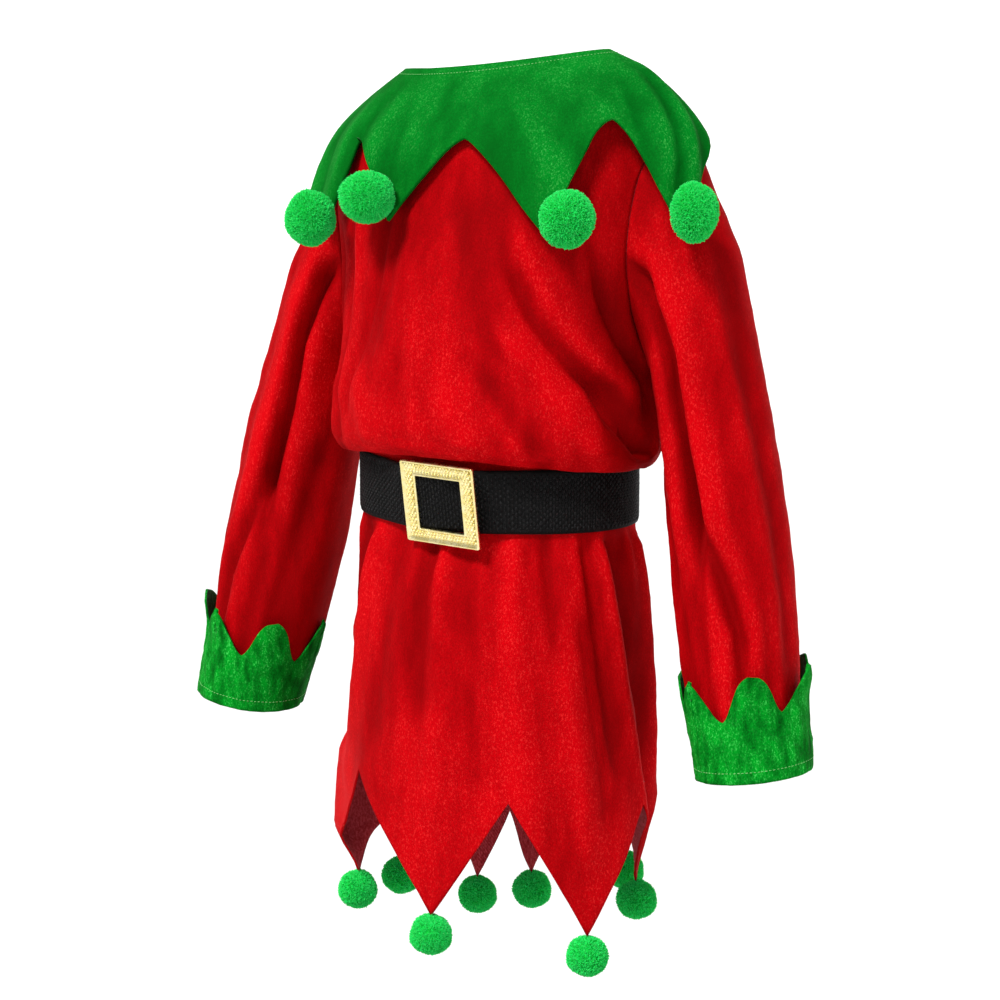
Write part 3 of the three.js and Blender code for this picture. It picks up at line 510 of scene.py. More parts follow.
def panel_grid(back):
    """The rows of one panel from neck to hem."""
    across = np.linspace(-1, 1, PANEL_COLUMNS + 1)
    tunic = np.concatenate([
        index + np.arange(steps * FINER) / (steps * FINER) for index, steps in enumerate(TUNIC_STEPS[:-1])
    ] + [[len(TUNIC_STEPS) - 1]])
    last = len(SKIRT["z"]) - 1
    skirt = np.concatenate([np.arange(0, last, 1 / SKIRT_STEPS), last + np.linspace(0, 1, HEM_ROWS + 1)])
    return np.vstack([tunic_places(back, tunic, across), skirt_places(panel_turn(back, across), skirt)])


def uneven(grid, waves):
    """Moves a grid in and out a little, as cloth is never quite smooth."""
    for height, size, seed in waves:
        offset = Vector((seed, seed * 1.7, -seed))
        wave = np.array([[noise.noise(Vector(place / size) + offset) for place in row] for row in grid])
        grid = grid + grid_normals(grid, False) * wave[..., None] * height
    return grid


def grid_normals(grid, closed):
    """Unit normals of a grid, down crossed with across."""
    down = np.gradient(grid, axis=0)
    if closed:
        across = np.roll(grid, -1, axis=1) - np.roll(grid, 1, axis=1)
    else:
        across = np.gradient(grid, axis=1)
    normals = np.cross(down, across)
    return normals / np.maximum(np.linalg.norm(normals, axis=-1, keepdims=True), 1e-9)


def grid_faces(rows, columns, closed, start=0):
    """Quads of a grid whose first corner has the number start."""
    numbers = np.arange(rows * columns).reshape(rows, columns) + start
    if closed:
        numbers = np.hstack([numbers, numbers[:, :1]])
    corners = [numbers[:-1, :-1], numbers[1:, :-1], numbers[1:, 1:], numbers[:-1, 1:]]
    return np.stack(corners, -1).reshape(-1, 4)


def cloth_lengths(grid):
    """Lengths along the cloth, across and down, for each place of a grid."""
    down = np.linalg.norm(np.diff(grid, axis=0), axis=-1)
    across = np.linalg.norm(np.diff(grid, axis=1), axis=-1)
    v = np.vstack([np.zeros((1, grid.shape[1])), np.cumsum(down, axis=0)])
    u = np.hstack([np.zeros((grid.shape[0], 1)), np.cumsum(across, axis=1)])
    return u - u[:, -1:] / 2, v


def added(name, data):
    """A new object in the scene, at its origin."""
    thing = bpy.data.objects.new(name, data)
    bpy.context.collection.objects.link(thing)
    return thing


def shade_smooth(mesh):
    """Shades all of a mesh's faces smooth."""
    mesh.polygons.foreach_set("use_smooth", [True] * len(mesh.polygons))


def cloth(name, sheets, outside, inside, thickness):
    """One cloth piece from grids, each given with whether it closes, which way it faces and its painted
    light and shade.

    The wall is made on the inner side, where the second material shows."""
    places, faces, lengths, painted_shadings = [], [], [], []
    for grid, closed, facing, painted_shading in sheets:
        painted_shadings.append(np.broadcast_to(painted_shading, grid.shape[:2]).ravel())
        start = sum(len(block) for block in places)
        quads = grid_faces(grid.shape[0], grid.shape[1], closed, start)
        faces.extend((quads if facing > 0 else quads[:, ::-1]).tolist())
        places.append(grid.reshape(-1, 3) * MM)
        u, v = cloth_lengths(grid)
        lengths.append(np.stack([u, v], -1).reshape(-1, 2) * MM)
    places, lengths = np.vstack(places), np.vstack(lengths)
    mesh = bpy.data.meshes.new(name)
    mesh.from_pydata(places.tolist(), [], faces)
    chart = mesh.uv_layers.new(name="cloth")
    corners = np.empty(len(mesh.loops), dtype=np.int32)
    mesh.loops.foreach_get("vertex_index", corners)
    chart.data.foreach_set("uv", lengths[corners].ravel())
    # Painted light and shade, held on the points for the velvet: darker in folds and shaded places, lighter
    # on lit ones
    held = mesh.attributes.new("painted_shading", "FLOAT", "POINT")
    held.data.foreach_set("value", np.concatenate(painted_shadings))
    mesh.materials.append(outside)
    mesh.materials.append(inside)
    shape = bmesh.new()
    shape.from_mesh(mesh)
    bmesh.ops.remove_doubles(shape, verts=shape.verts, dist=WELD * MM)
    shape.to_mesh(mesh)
    shape.free()
    shade_smooth(mesh)
    piece = added(name, mesh)
    wall = piece.modifiers.new("wall", "SOLIDIFY")
    wall.thickness = thickness * MM
    wall.offset = -1
    wall.material_offset = 1
    wall.material_offset_rim = 0
    return piece


def ring_places(rings, turn):
    """Places of a sleeve or cuff on the left side from a section's columns; turn 0 is outside, 90 front."""
    swing = np.cos(np.radians(turn))
    x, z = ((rings["outer" + axis] + rings["inner" + axis]) / 2
            + (rings["outer" + axis] - rings["inner" + axis]) / 2 * swing for axis in ("_x", "_z"))
    y = rings["y"] - rings["depth"] * np.sin(np.radians(turn))
    return np.stack([x, y, z], -1)


def beside_crease(crease, turn, run):
    """How many half widths a place is beside a crease, where run is how far along the crease it is."""
    middle = crease["turn"] + (crease["turn_end"] - crease["turn"]) * np.clip(run, 0, 1)
    return np.radians(around(turn, middle)) / crease["width"]


def sleeve_depth(ring, turn):
    """How far the sleeve's creases push it outwards."""
    depth = np.zeros(np.broadcast(ring, turn).shape)
    for crease in crease_rows(SLEEVE_CREASES):
        run = (ring - crease["ring"]) / (crease["ring_end"] - crease["ring"])
        past = np.maximum(0, np.maximum(crease["ring"] - ring, ring - crease["ring_end"]))
        depth += crease["depth"] * np.exp(-beside_crease(crease, turn, run) ** 2 - past ** 2)
    return depth


def sleeve_grid(side, front, back):
    """A sleeve from the armhole's edge to under the cuff."""
    edge = PANEL_COLUMNS if side > 0 else 0
    rim = np.vstack([front[SHOULDER_TIP:ARMPIT, edge], back[ARMPIT:SHOULDER_TIP:-1, edge]])
    rim = rim + [side * ARMHOLE_SEAM, 0, 0]
    turn = np.arange(len(rim)) / len(rim) * 360
    own = dict(SLEEVE, outer_x=SLEEVE["outer_x"] - (SLEEVE["slim"] if side < 0 else 0))
    rings = {name: values[:, None] for name, values in own.items()}
    places = ring_places(rings, turn[None, :])
    middles = np.stack([
        (own["outer_x"] + own["inner_x"]) / 2, own["y"], (own["outer_z"] + own["inner_z"]) / 2], -1)
    mirrored = np.array([side, 1, 1])
    coarse = np.concatenate([rim[None], leaned(places * mirrored)])
    middle = np.concatenate([rim.mean(axis=0)[None], leaned(middles * mirrored)])
    count = len(coarse) - 1
    ring = np.linspace(0, count, count * SLEEVE_STEPS + 1)
    grid = smooth_along(coarse, ring)
    centre = smooth_along(middle, ring)[:, None]
    reach = np.linalg.norm(grid - centre, axis=-1)
    depth = sleeve_depth(ring[:, None], turn[None, :]) * np.clip(ring, 0, 1)[:, None]
    return grid + (grid - centre) * (depth / reach)[..., None]


def cuff_grid(side, turn_of_point):
    """A turned-back cuff from its lower edge to its rounded points."""
    columns = CUFF_POINTS * CUFF_POINT_COLUMNS
    column = np.arange(columns)
    from_point = np.abs(column % CUFF_POINT_COLUMNS / CUFF_POINT_COLUMNS - 0.5) * 2
    eased = from_point ** 3 * (6 * from_point ** 2 - 15 * from_point + 10)
    rounded = (1 - CUFF_ROUNDING) * from_point + CUFF_ROUNDING * eased
    point = column // CUFF_POINT_COLUMNS
    end = CUFF_NOTCH + (len(CUFF["y"]) - 1 - CUFF_NOTCH) * rounded * CUFF_LEAN["height"][point]
    share = np.linspace(0, 1, CUFF_ROWS + 1)[:, None]
    turn = turn_of_point + column / columns * 360 + CUFF_LEAN["lean"][point] * rounded * share ** 2
    grid = ring_places(section(CUFF, share * end[None, :]), turn)
    flute = CUFF_FLUTE * (from_point - 0.5)[None, :] * share ** 2
    return (grid + grid_normals(grid, True) * flute[..., None]) * np.array([side, 1, 1])


def collar_places(turn, place):
    """Places on the collar's sheet, by turn from the front and by section."""
    s = section(COLLAR, place)
    sine, cosine = np.sin(np.radians(turn)), np.cos(np.radians(turn))
    depth = np.where(cosine > 0, s["front"], s["back"])
    middle_z = np.where(cosine > 0, s["front_z"], s["back_z"])
    y = depth * np.abs(cosine) + COLLAR_SHOULDER * (1 - np.abs(cosine))
    x = s["shift"] + s["x"] * sine
    return leaned(np.stack([x, y, middle_z + (s["side_z"] - middle_z) * sine ** 2], -1))


def collar_turns(count):
    """Turns that part the collar into equal lengths of cloth, from the middle notch in front."""
    marks = COLLAR_MIDDLE + np.arange(COLLAR_MEASURES + 1) / COLLAR_MEASURES * 360
    line = collar_places(marks, np.full(marks.shape, float(COLLAR_GIRTH)))
    lengths = np.concatenate([[0], np.cumsum(np.linalg.norm(np.diff(line, axis=0), axis=-1))])
    return np.interp(np.arange(count) / count * lengths[-1], lengths, marks)


def collar_depth(turn, place):
    """How far the collar's creases push it outwards."""
    depth = np.zeros(np.broadcast(turn, place).shape)
    for crease in crease_rows(COLLAR_CREASES):
        run = (place - crease["place"]) / (crease["place_end"] - crease["place"])
        fade = np.clip(run, 0, 1) ** 0.5
        depth += crease["depth"] * np.exp(-beside_crease(crease, turn, run) ** 2) * fade
    return depth


def collar_grid():
    """The collar from the neck's edge to its points, and the painted light and shade of its creases."""
    turns = collar_turns(len(COLLAR_POINTS["reach"]) * COLLAR_POINT_COLUMNS)
    column = np.arange(len(turns))
    which = column // COLLAR_POINT_COLUMNS
    from_tip = np.abs(column % COLLAR_POINT_COLUMNS / COLLAR_POINT_COLUMNS - 0.5) * 2
    after = column % COLLAR_POINT_COLUMNS > COLLAR_POINT_COLUMNS / 2
    hollow = np.where(after, COLLAR_POINTS["after"][which], COLLAR_POINTS["before"][which])
    towards = (1 - from_tip) ** hollow
    end = COLLAR_NOTCH + (COLLAR_POINTS["reach"][which] - COLLAR_NOTCH) * towards
    down = np.linspace(0, 1, COLLAR_ROWS + 1)[:, None]
    notch = np.where(after, np.roll(COLLAR_POINTS["notch"], -1)[which], COLLAR_POINTS["notch"][which])
    swing = COLLAR_POINTS["swing"][which] * (1 - from_tip) + notch * from_tip
    turn = turns[None, :] + swing[None, :] * down ** 2
    place = down * end[None, :]
    grid = collar_places(turn, place)
    depth = collar_depth(turn, place)
    return grid + grid_normals(grid, True) * depth[..., None], np.clip(depth / FOLD_SHADE_DEPTH["collar"], -1, 1)


def belt_places(turn, z, lift=0.0):
    """Places on the band, which stands off the waist where the buckle's bar passes behind it."""
    off = around(turn, BELT_BULGE["turn"])
    high = (z - BELT["bottom"]) / (BELT["top"] - BELT["bottom"])
    bulge = BELT_BULGE["bottom"] + (BELT_BULGE["top"] - BELT_BULGE["bottom"]) * high
    stand = bulge * np.exp(-(off / BELT_BULGE["width"]) ** BELT_BULGE["power"])
    x = (BELT["x"] + BELT["wall"] + lift) * np.sin(np.radians(turn))
    y = -(BELT["y"] + BELT["wall"] + lift + stand) * np.cos(np.radians(turn))
    return np.stack(np.broadcast_arrays(x, y, z), -1)


# Materials

def fill(tree, node, inputs):
    """Sets a node's inputs by name or number, each to a value or to a socket that is linked to it."""
    for name, value in inputs.items():
        if isinstance(value, bpy.types.NodeSocket):
            tree.links.new(value, node.inputs[name])
        else:
            node.inputs[name].default_value = value


def add_node(tree, kind, inputs=None, **settings):
    """Adds a node with its settings and inputs."""
    node = tree.nodes.new(kind)
    for name, value in settings.items():
        setattr(node, name, value)
    fill(tree, node, inputs or {})
    return node


def new_material(name, **values):
    """A material with its shader's own values set, its tree, its shader and the coordinates of its object."""
    material = bpy.data.materials.new(name)
    material.use_nodes = True
    tree = material.node_tree
    shader = tree.nodes["Principled BSDF"]
    fill(tree, shader, {key.replace("_", " "): value for key, value in values.items()})
    return material, tree, shader, tree.nodes.new("ShaderNodeTexCoord").outputs["Object"]


def noise_node(tree, coords, size, detail=2.0, roughness=0.55, stretch=(1, 1, 1)):
    """Noise whose features are about size millimetres, stretched by axis."""
    mapping = add_node(tree, "ShaderNodeMapping", {"Scale": stretch, "Vector": coords})
    return add_node(tree, "ShaderNodeTexNoise", {
        "Scale": 1 / (size * MM), "Detail": detail, "Roughness": roughness,
        "Vector": mapping.outputs["Vector"]}).outputs["Fac"]


def ramp_node(tree, value, low, high):
    """Spreads the range from low to high over 0 to 1."""
    return add_node(tree, "ShaderNodeMapRange", {"Value": value, "From Min": low, "From Max": high},
                    clamp=True, interpolation_type="SMOOTHSTEP").outputs["Result"]


def math_node(tree, operation, first, second):
    """A sum or product of two values, each a socket or a number."""
    return add_node(tree, "ShaderNodeMath", {0: first, 1: second}, operation=operation).outputs["Value"]


def blend_node(tree, first, share, second, other_share):
    """The sum of two values, each times its share."""
    return math_node(tree, "ADD", math_node(tree, "MULTIPLY", first, share),
                     math_node(tree, "MULTIPLY", second, other_share))


def mix_node(tree, share, first, second):
    """A mix of two colours, each a socket or a colour."""
    node = add_node(tree, "ShaderNodeMix", data_type="RGBA")
    sockets = {item.identifier: item for item in node.inputs}
    tree.links.new(share, sockets["Factor_Float"])
    for name, value in (("A_Color", first), ("B_Color", second)):
        if isinstance(value, tuple):
            sockets[name].default_value = (*value, 1)
        else:
            tree.links.new(value, sockets[name])
    return next(item for item in node.outputs if item.identifier == "Result_Color")


def bump_node(tree, height, strength, distance, before=None):
    """Bump of a height in millimetres, over an earlier one if given."""
    inputs = {"Height": height, "Strength": strength, "Distance": distance * MM}
    if before:
        inputs["Normal"] = before
    return add_node(tree, "ShaderNodeBump", inputs).outputs["Normal"]


def velvet(name, deep, bright, glint_colour, patch, crush, glint_share, brushing):
    """Short-pile velvet: a fine grain and soft brushed bands, painted light and shade from the mesh's points,
    and painted glints: pale flecks where the fine grain meets the lighter places.

    patch is the size of its patches, crush its bumps' height, and the last two are the shares of the painted
    glints and of the brushed bands."""
    material, tree, shader, coords = new_material(
        name, Roughness=0.75, Sheen_Weight=0.1, Sheen_Roughness=0.3, Sheen_Tint=(*glint_colour, 1),
        Specular_IOR_Level=0.03)
    # Painted light and shade held on the mesh: darker in folds and shaded places, lighter where light falls
    painted_shading = add_node(tree, "ShaderNodeAttribute", attribute_name="painted_shading").outputs["Fac"]
    pile = noise_node(tree, coords, 1.0, 3, 0.75, (1, 1, 0.6))
    brushed = noise_node(tree, coords, 11, 2, 0.5, (1, 1, 0.3))
    patches = noise_node(tree, coords, patch, 1.5, 0.5, (1, 1, 0.4))
    soft = blend_node(tree, blend_node(tree, brushed, brushing, patches, 1 - brushing), 1, painted_shading, 0.2)
    tone = blend_node(tree, soft, 0.6, pile, 0.4)
    body = mix_node(tree, ramp_node(tree, tone, 0.3, 0.68), deep, bright)
    # Painted glints: pale flecks where the fine grain meets the lighter places
    grains = ramp_node(tree, noise_node(tree, coords, 1.4, 3, 0.8, (1, 1, 0.6)), 0.52, 0.66)
    glint_places = ramp_node(tree, soft, 0.38, 0.66)
    share = math_node(tree, "MULTIPLY", math_node(tree, "MULTIPLY", grains, glint_places), glint_share)
    raised = bump_node(tree, brushed, 0.5, crush)
    fill(tree, shader, {
        "Base Color": mix_node(tree, share, body, glint_colour),
        "Normal": bump_node(tree, pile, 0.6, 0.4, raised)})
    return material


def backing(name, deep, pale):
    """The cloth's wrong side: a fine knitted backing with the pile's colour showing through."""
    material, tree, shader, coords = new_material(name, Roughness=0.85, Specular_IOR_Level=0.2)
    chart = add_node(tree, "ShaderNodeUVMap", uv_map="cloth").outputs["UV"]
    wales = add_node(tree, "ShaderNodeTexWave", {
        "Vector": chart, "Scale": 0.16 / (1.2 * MM), "Distortion": 1.2, "Detail": 2, "Detail Scale": 3},
        wave_type="BANDS", bands_direction="X").outputs["Fac"]
    speckle = noise_node(tree, coords, 1.6, 3, 0.7, (1, 1, 0.5))
    mixed = blend_node(tree, wales, 0.12, speckle, 0.88)
    fill(tree, shader, {
        "Base Color": mix_node(tree, ramp_node(tree, mixed, 0.34, 0.72), deep, pale),
        "Normal": bump_node(tree, mixed, 0.5, 0.3)})
    return material


def yarn(name, deep, bright, pale):
    """Cut yarn: painted shade towards its roots and painted highlights at its ends."""
    material, tree, shader, coords = new_material(
        name, Roughness=0.85, Sheen_Weight=0.9, Sheen_Roughness=0.6, Sheen_Tint=(*bright, 1),
        Specular_IOR_Level=0.3)
    tip = add_node(tree, "ShaderNodeAttribute", attribute_name="tip").outputs["Fac"]
    clumps = noise_node(tree, coords, 2.4, 2, 0.6)
    strands = noise_node(tree, coords, 0.7, 1, 0.5)
    # Painted shade towards the roots, mixed with random clumps
    mixed = blend_node(tree, tip, 0.45, clumps, 0.55)
    body = mix_node(tree, ramp_node(tree, mixed, 0.3, 0.72), deep, bright)
    # Painted highlights: pale strands at the ends
    ends = math_node(tree, "MULTIPLY", ramp_node(tree, tip, 0.75, 1), ramp_node(tree, strands, 0.45, 0.7))
    fill(tree, shader, {"Base Color": mix_node(tree, ends, body, pale)})
    return material


def elastic(name, colour, light, roughness):
    """Black covered elastic, with a fine cross weave."""
    material, tree, shader, coords = new_material(name, Roughness=roughness, Specular_IOR_Level=0.16)
    weave = noise_node(tree, coords, 0.8, 2, 0.6, (1, 1, 0.3))
    fill(tree, shader, {
        "Base Color": mix_node(tree, ramp_node(tree, weave, 0.45, 0.75), colour, light),
        "Normal": bump_node(tree, weave, 0.5, 0.2)})
    return material


def gilt(name, worn, bright):
    """Gold plating, a little uneven and worn."""
    material, tree, shader, coords = new_material(name, Metallic=1.0)
    wear = noise_node(tree, coords, 5, 4, 0.6)
    rough = add_node(tree, "ShaderNodeMapRange", {"Value": wear, "To Min": 0.2, "To Max": 0.34})
    fill(tree, shader, {
        "Base Color": mix_node(tree, ramp_node(tree, wear, 0.4, 0.7), worn, bright),
        "Roughness": rough.outputs["Result"],
        "Normal": bump_node(tree, noise_node(tree, coords, 1.5, 2), 0.2, 0.1)})
    return material


def thread(name, colour, light):
    """Sewing thread."""
    material, tree, shader, coords = new_material(name, Roughness=0.55)
    twist = ramp_node(tree, noise_node(tree, coords, 0.5, 1), 0.4, 0.65)
    fill(tree, shader, {"Base Color": mix_node(tree, twist, colour, light)})
    return material


def pale_ground(name, colour, light):
    """The plain pale floor, with a trace of unevenness."""
    material, tree, shader, coords = new_material(name, Roughness=0.9)
    fill(tree, shader, {"Base Color": mix_node(tree, noise_node(tree, coords, 900, 2), colour, light)})
    return material


RED = velvet("red velvet", (0.24, 0.0, 0.001), (0.60, 0.0, 0.003), (0.92, 0.03, 0.028),
             patch=80, crush=0.5, glint_share=0.62, brushing=0.3)
GREEN = velvet("green velvet", (0.0, 0.10, 0.006), (0.0, 0.235, 0.016), (0.09, 0.58, 0.11),
               patch=60, crush=0.4, glint_share=0.45, brushing=0.3)
CRUSHED = velvet("crushed green velvet", (0.0, 0.05, 0.003), (0.0, 0.36, 0.018), (0.07, 0.75, 0.12),
                 patch=8, crush=4.6, glint_share=0.9, brushing=0.5)
RED_BACK = backing("red velvet wrong side", (0.23, 0.004, 0.007), (0.50, 0.045, 0.06))
GREEN_BACK = backing("green velvet wrong side", (0.0, 0.07, 0.012), (0.05, 0.2, 0.06))
YARN = yarn("green yarn", (0.0, 0.62, 0.06), (0.02, 1.0, 0.19), (0.25, 1.0, 0.34))
BAND = elastic("black elastic", (0.0012, 0.0012, 0.0012), (0.004, 0.004, 0.004), 0.7)
# The ribs are painted lighter than the band: painted highlights on the raised ribs
RIB = elastic("elastic rib", (0.0025, 0.0025, 0.0025), (0.022, 0.022, 0.023), 0.34)
GOLD = gilt("pale gold", (0.90, 0.76, 0.32), (0.99, 0.90, 0.52))
THREAD = thread("pale green thread", (0.12, 0.5, 0.12), (0.35, 0.8, 0.3))
FLOOR = pale_ground("pale floor", (0.93, 0.93, 0.93), (0.95, 0.95, 0.95))


# Geometry Nodes

def new_tree(name, sizes):
    """A node tree with a geometry in and out, and inputs for the named sizes, a seed and a material."""
    tree = bpy.data.node_groups.new(name, "GeometryNodeTree")
    face = tree.interface
    face.new_socket("Geometry", in_out="INPUT", socket_type="NodeSocketGeometry")
    for label in sizes:
        face.new_socket(label, in_out="INPUT", socket_type="NodeSocketFloat")
    face.new_socket("Seed", in_out="INPUT", socket_type="NodeSocketInt")
    face.new_socket("Material", in_out="INPUT", socket_type="NodeSocketMaterial")
    face.new_socket("Geometry", in_out="OUTPUT", socket_type="NodeSocketGeometry")
    return tree, tree.nodes.new("NodeGroupInput").outputs


def finish_tree(tree, given, geometry):
    """Ends a tree in Realize Instances, Set Shade Smooth and Set Material."""
    realize = add_node(tree, "GeometryNodeRealizeInstances", {"Geometry": geometry})
    smooth = add_node(tree, "GeometryNodeSetShadeSmooth", {"Geometry": realize.outputs["Geometry"]})
    paint = add_node(tree, "GeometryNodeSetMaterial", {
        "Geometry": smooth.outputs["Geometry"], "Material": given["Material"]})
    add_node(tree, "NodeGroupOutput", {"Geometry": paint.outputs["Geometry"]})
    return tree


def random_value(tree, low, high, seed, vector=False):
    """A random number, or three, for each place."""
    kind = "FLOAT_VECTOR" if vector else "FLOAT"
    value = add_node(tree, "FunctionNodeRandomValue", {"Seed": seed}, data_type=kind)
    sockets = [item for item in value.inputs if item.enabled]
    for socket, number in zip(sockets, (low, high)):
        socket.default_value = (number,) * 3 if vector else number
    return next(item for item in value.outputs if item.enabled)


def scaled(tree, vector, factor):
    """A vector times a number."""
    node = add_node(tree, "ShaderNodeVectorMath", {0: vector, "Scale": factor}, operation="SCALE")
    return node.outputs["Vector"]


def standing(tree, direction):
    """The rotation that stands a shape up along a direction."""
    node = add_node(tree, "FunctionNodeAlignRotationToVector", {"Vector": direction}, axis="Z")
    return node.outputs["Rotation"]


def placed(tree, points, shape, rotation, scale):
    """A shape set on each point."""
    return add_node(tree, "GeometryNodeInstanceOnPoints", {
        "Points": points, "Instance": shape, "Rotation": rotation, "Scale": scale}).outputs["Instances"]


def bead_tree():
    """Small rounded shapes on the points of a mesh: stitches, ribs and beads.

    Each point carries the direction that its shape runs along and the one that it faces."""
    tree, given = new_tree("rounded shapes", ("Length", "Width", "Height", "Unevenness"))
    ball = add_node(tree, "GeometryNodeMeshIcoSphere", {"Radius": 0.5, "Subdivisions": 1})
    facing, running = (
        add_node(tree, "GeometryNodeInputNamedAttribute", {"Name": label}, data_type="FLOAT_VECTOR")
        for label in ("facing", "running"))
    stand = standing(tree, facing.outputs["Attribute"])
    turn = add_node(tree, "FunctionNodeAlignRotationToVector", {
        "Rotation": stand, "Vector": running.outputs["Attribute"]}, axis="X", pivot_axis="Z")
    size = add_node(tree, "ShaderNodeCombineXYZ", {
        "X": given["Length"], "Y": given["Width"], "Z": given["Height"]})
    change = math_node(tree, "MULTIPLY", random_value(tree, -1, 1, given["Seed"]), given["Unevenness"])
    scale = scaled(tree, size.outputs["Vector"], math_node(tree, "ADD", change, 1.0))
    return finish_tree(tree, given, placed(
        tree, given["Geometry"], ball.outputs["Mesh"], turn.outputs["Rotation"], scale))


def yarn_tree():
    """Cut strands standing on a ball, and the ball itself."""
    tree, given = new_tree("cut yarn", ("Strands", "Strand length", "Strand width", "Tilt"))
    spread = add_node(tree, "GeometryNodeDistributePointsOnFaces", {
        "Mesh": given["Geometry"], "Density": given["Strands"], "Seed": given["Seed"]},
        distribute_method="RANDOM")
    strand = add_node(tree, "GeometryNodeMeshCone", {
        "Vertices": 3, "Side Segments": 1, "Radius Top": 0.28, "Radius Bottom": 0.5, "Depth": 1.0},
        fill_type="NONE")
    place = tree.nodes.new("GeometryNodeInputPosition").outputs["Position"]
    height = add_node(tree, "ShaderNodeSeparateXYZ", {"Vector": place}).outputs["Z"]
    # Height along each strand, which the yarn's painted shade and painted highlights read
    mark = add_node(tree, "GeometryNodeStoreNamedAttribute", {
        "Name": "tip", "Geometry": strand.outputs["Mesh"], "Value": height},
        data_type="FLOAT", domain="POINT")
    leaning = scaled(tree, random_value(tree, -1, 1, given["Seed"], vector=True), given["Tilt"])
    direction = add_node(tree, "ShaderNodeVectorMath", {
        0: spread.outputs["Normal"], 1: leaning}, operation="ADD")
    varied = random_value(tree, 0.72, 1.08, given["Seed"])
    size = add_node(tree, "ShaderNodeCombineXYZ", {
        "X": given["Strand width"], "Y": given["Strand width"],
        "Z": math_node(tree, "MULTIPLY", given["Strand length"], varied)})
    strands = placed(tree, spread.outputs["Points"], mark.outputs["Geometry"],
                     standing(tree, direction.outputs["Vector"]), size.outputs["Vector"])
    both = tree.nodes.new("GeometryNodeJoinGeometry")
    for geometry in (given["Geometry"], strands):
        tree.links.new(geometry, both.inputs["Geometry"])
    return finish_tree(tree, given, both.outputs["Geometry"])


def grown(name, carrier, tree, values):
    """The plain mesh that a node tree makes on a carrier mesh, as a piece of its own."""
    holder = added(name + " carrier", carrier)
    modifier = holder.modifiers.new(name, "NODES")
    modifier.node_group = tree
    for item in tree.interface.items_tree:
        if item.item_type == "SOCKET" and item.in_out == "INPUT" and item.name in values:
            modifier[item.identifier] = values[item.name]
    shown = holder.evaluated_get(bpy.context.evaluated_depsgraph_get())
    mesh = bpy.data.meshes.new_from_object(shown)
    mesh.name = name
    holder.modifiers.remove(modifier)
    bpy.data.objects.remove(holder)
    return added(name, mesh)


def rounded_shapes(name, places, running, facing, sizes, material):
    """Rounded shapes at places, running along one direction and facing another."""
    carrier = bpy.data.meshes.new(name)
    carrier.from_pydata((np.asarray(places) * MM).tolist(), [], [])
    for label, vectors in (("running", running), ("facing", facing)):
        held = carrier.attributes.new(label, "FLOAT_VECTOR", "POINT")
        held.data.foreach_set("vector", np.asarray(vectors, float).ravel())
    lengths = {label.capitalize(): sizes[label] * MM for label in ("length", "width", "height")}
    return grown(name, carrier, BEADS, {
        **lengths, "Unevenness": sizes["uneven"], "Seed": sizes["seed"], "Material": material})


BEADS = bead_tree()
STRANDS = yarn_tree()


# Pieces

def settle(piece, slot, *nodes):
    """Declares what a finished piece rides on, and hides the nodes that it stands for; slot is not used."""
    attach(piece, "root")
    if nodes:
        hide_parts(*nodes)
    return piece


def line_along(grid, facing, length):
    """The line that runs at a constant length down every column of a grid, and its normals."""
    steps = np.linalg.norm(np.diff(grid, axis=0), axis=-1)
    depth = np.vstack([np.zeros(grid.shape[1]), steps.cumsum(axis=0)])
    columns = range(grid.shape[1])
    rows = np.array([np.interp(length, depth[:, column], np.arange(len(depth))) for column in columns])
    low = np.floor(rows).astype(int)
    share = (rows - low)[:, None]
    return [values[low, columns] * (1 - share) + values[low + 1, columns] * share
            for values in (grid, facing)]


def stitch_line(name, grid, facing, stitch):
    """Stitches along the first row of a closed grid, at their inset from it."""
    line, out = line_along(grid, facing, stitch["inset"])
    line = line + out * stitch["lift"]
    loop = np.vstack([line, line[:1]])
    faces = np.vstack([out, out[:1]])
    lengths = np.concatenate([[0], np.cumsum(np.linalg.norm(np.diff(loop, axis=0), axis=-1))])

    def along(values, at):
        return np.stack([np.interp(at, lengths, values[:, axis]) for axis in range(3)], -1)

    at = np.arange(0, lengths[-1], stitch["pitch"])
    places = along(loop, at)
    ahead = along(loop, (at + stitch["pitch"] / 4) % lengths[-1])
    seam = rounded_shapes(name, places, ahead - places, along(faces, at), stitch, THREAD)
    return settle(seam, "green_velvet")


def make_tunic():
    """Front and back in one sheet, joined at the shoulders and the sides and open at the armholes."""
    front, back = (uneven(panel_grid(side), WAVES["tunic"]) for side in (False, True))
    for row in list(range(SHOULDER_TIP + 1)) + list(range(ARMPIT, front.shape[0])):
        for edge in (0, PANEL_COLUMNS):
            joined = (front[row, edge] + back[row, edge]) / 2
            front[row, edge] = joined
            back[row, edge] = joined
    across = np.linspace(-1, 1, PANEL_COLUMNS + 1)
    # Painted light and shade on both panels: darker in folds and shaded places, lighter on ridges and lit
    # places
    sheets = [(grid, False, facing, painted_shading_of(panel_turn(side, across)[None, :], grid[..., 2]))
              for grid, side, facing in ((front, False, 1), (back, True, -1))]
    tunic = cloth("tunic", sheets, RED, RED_BACK, VELVET)
    return settle(tunic, "red_velvet", "front", "back"), front, back


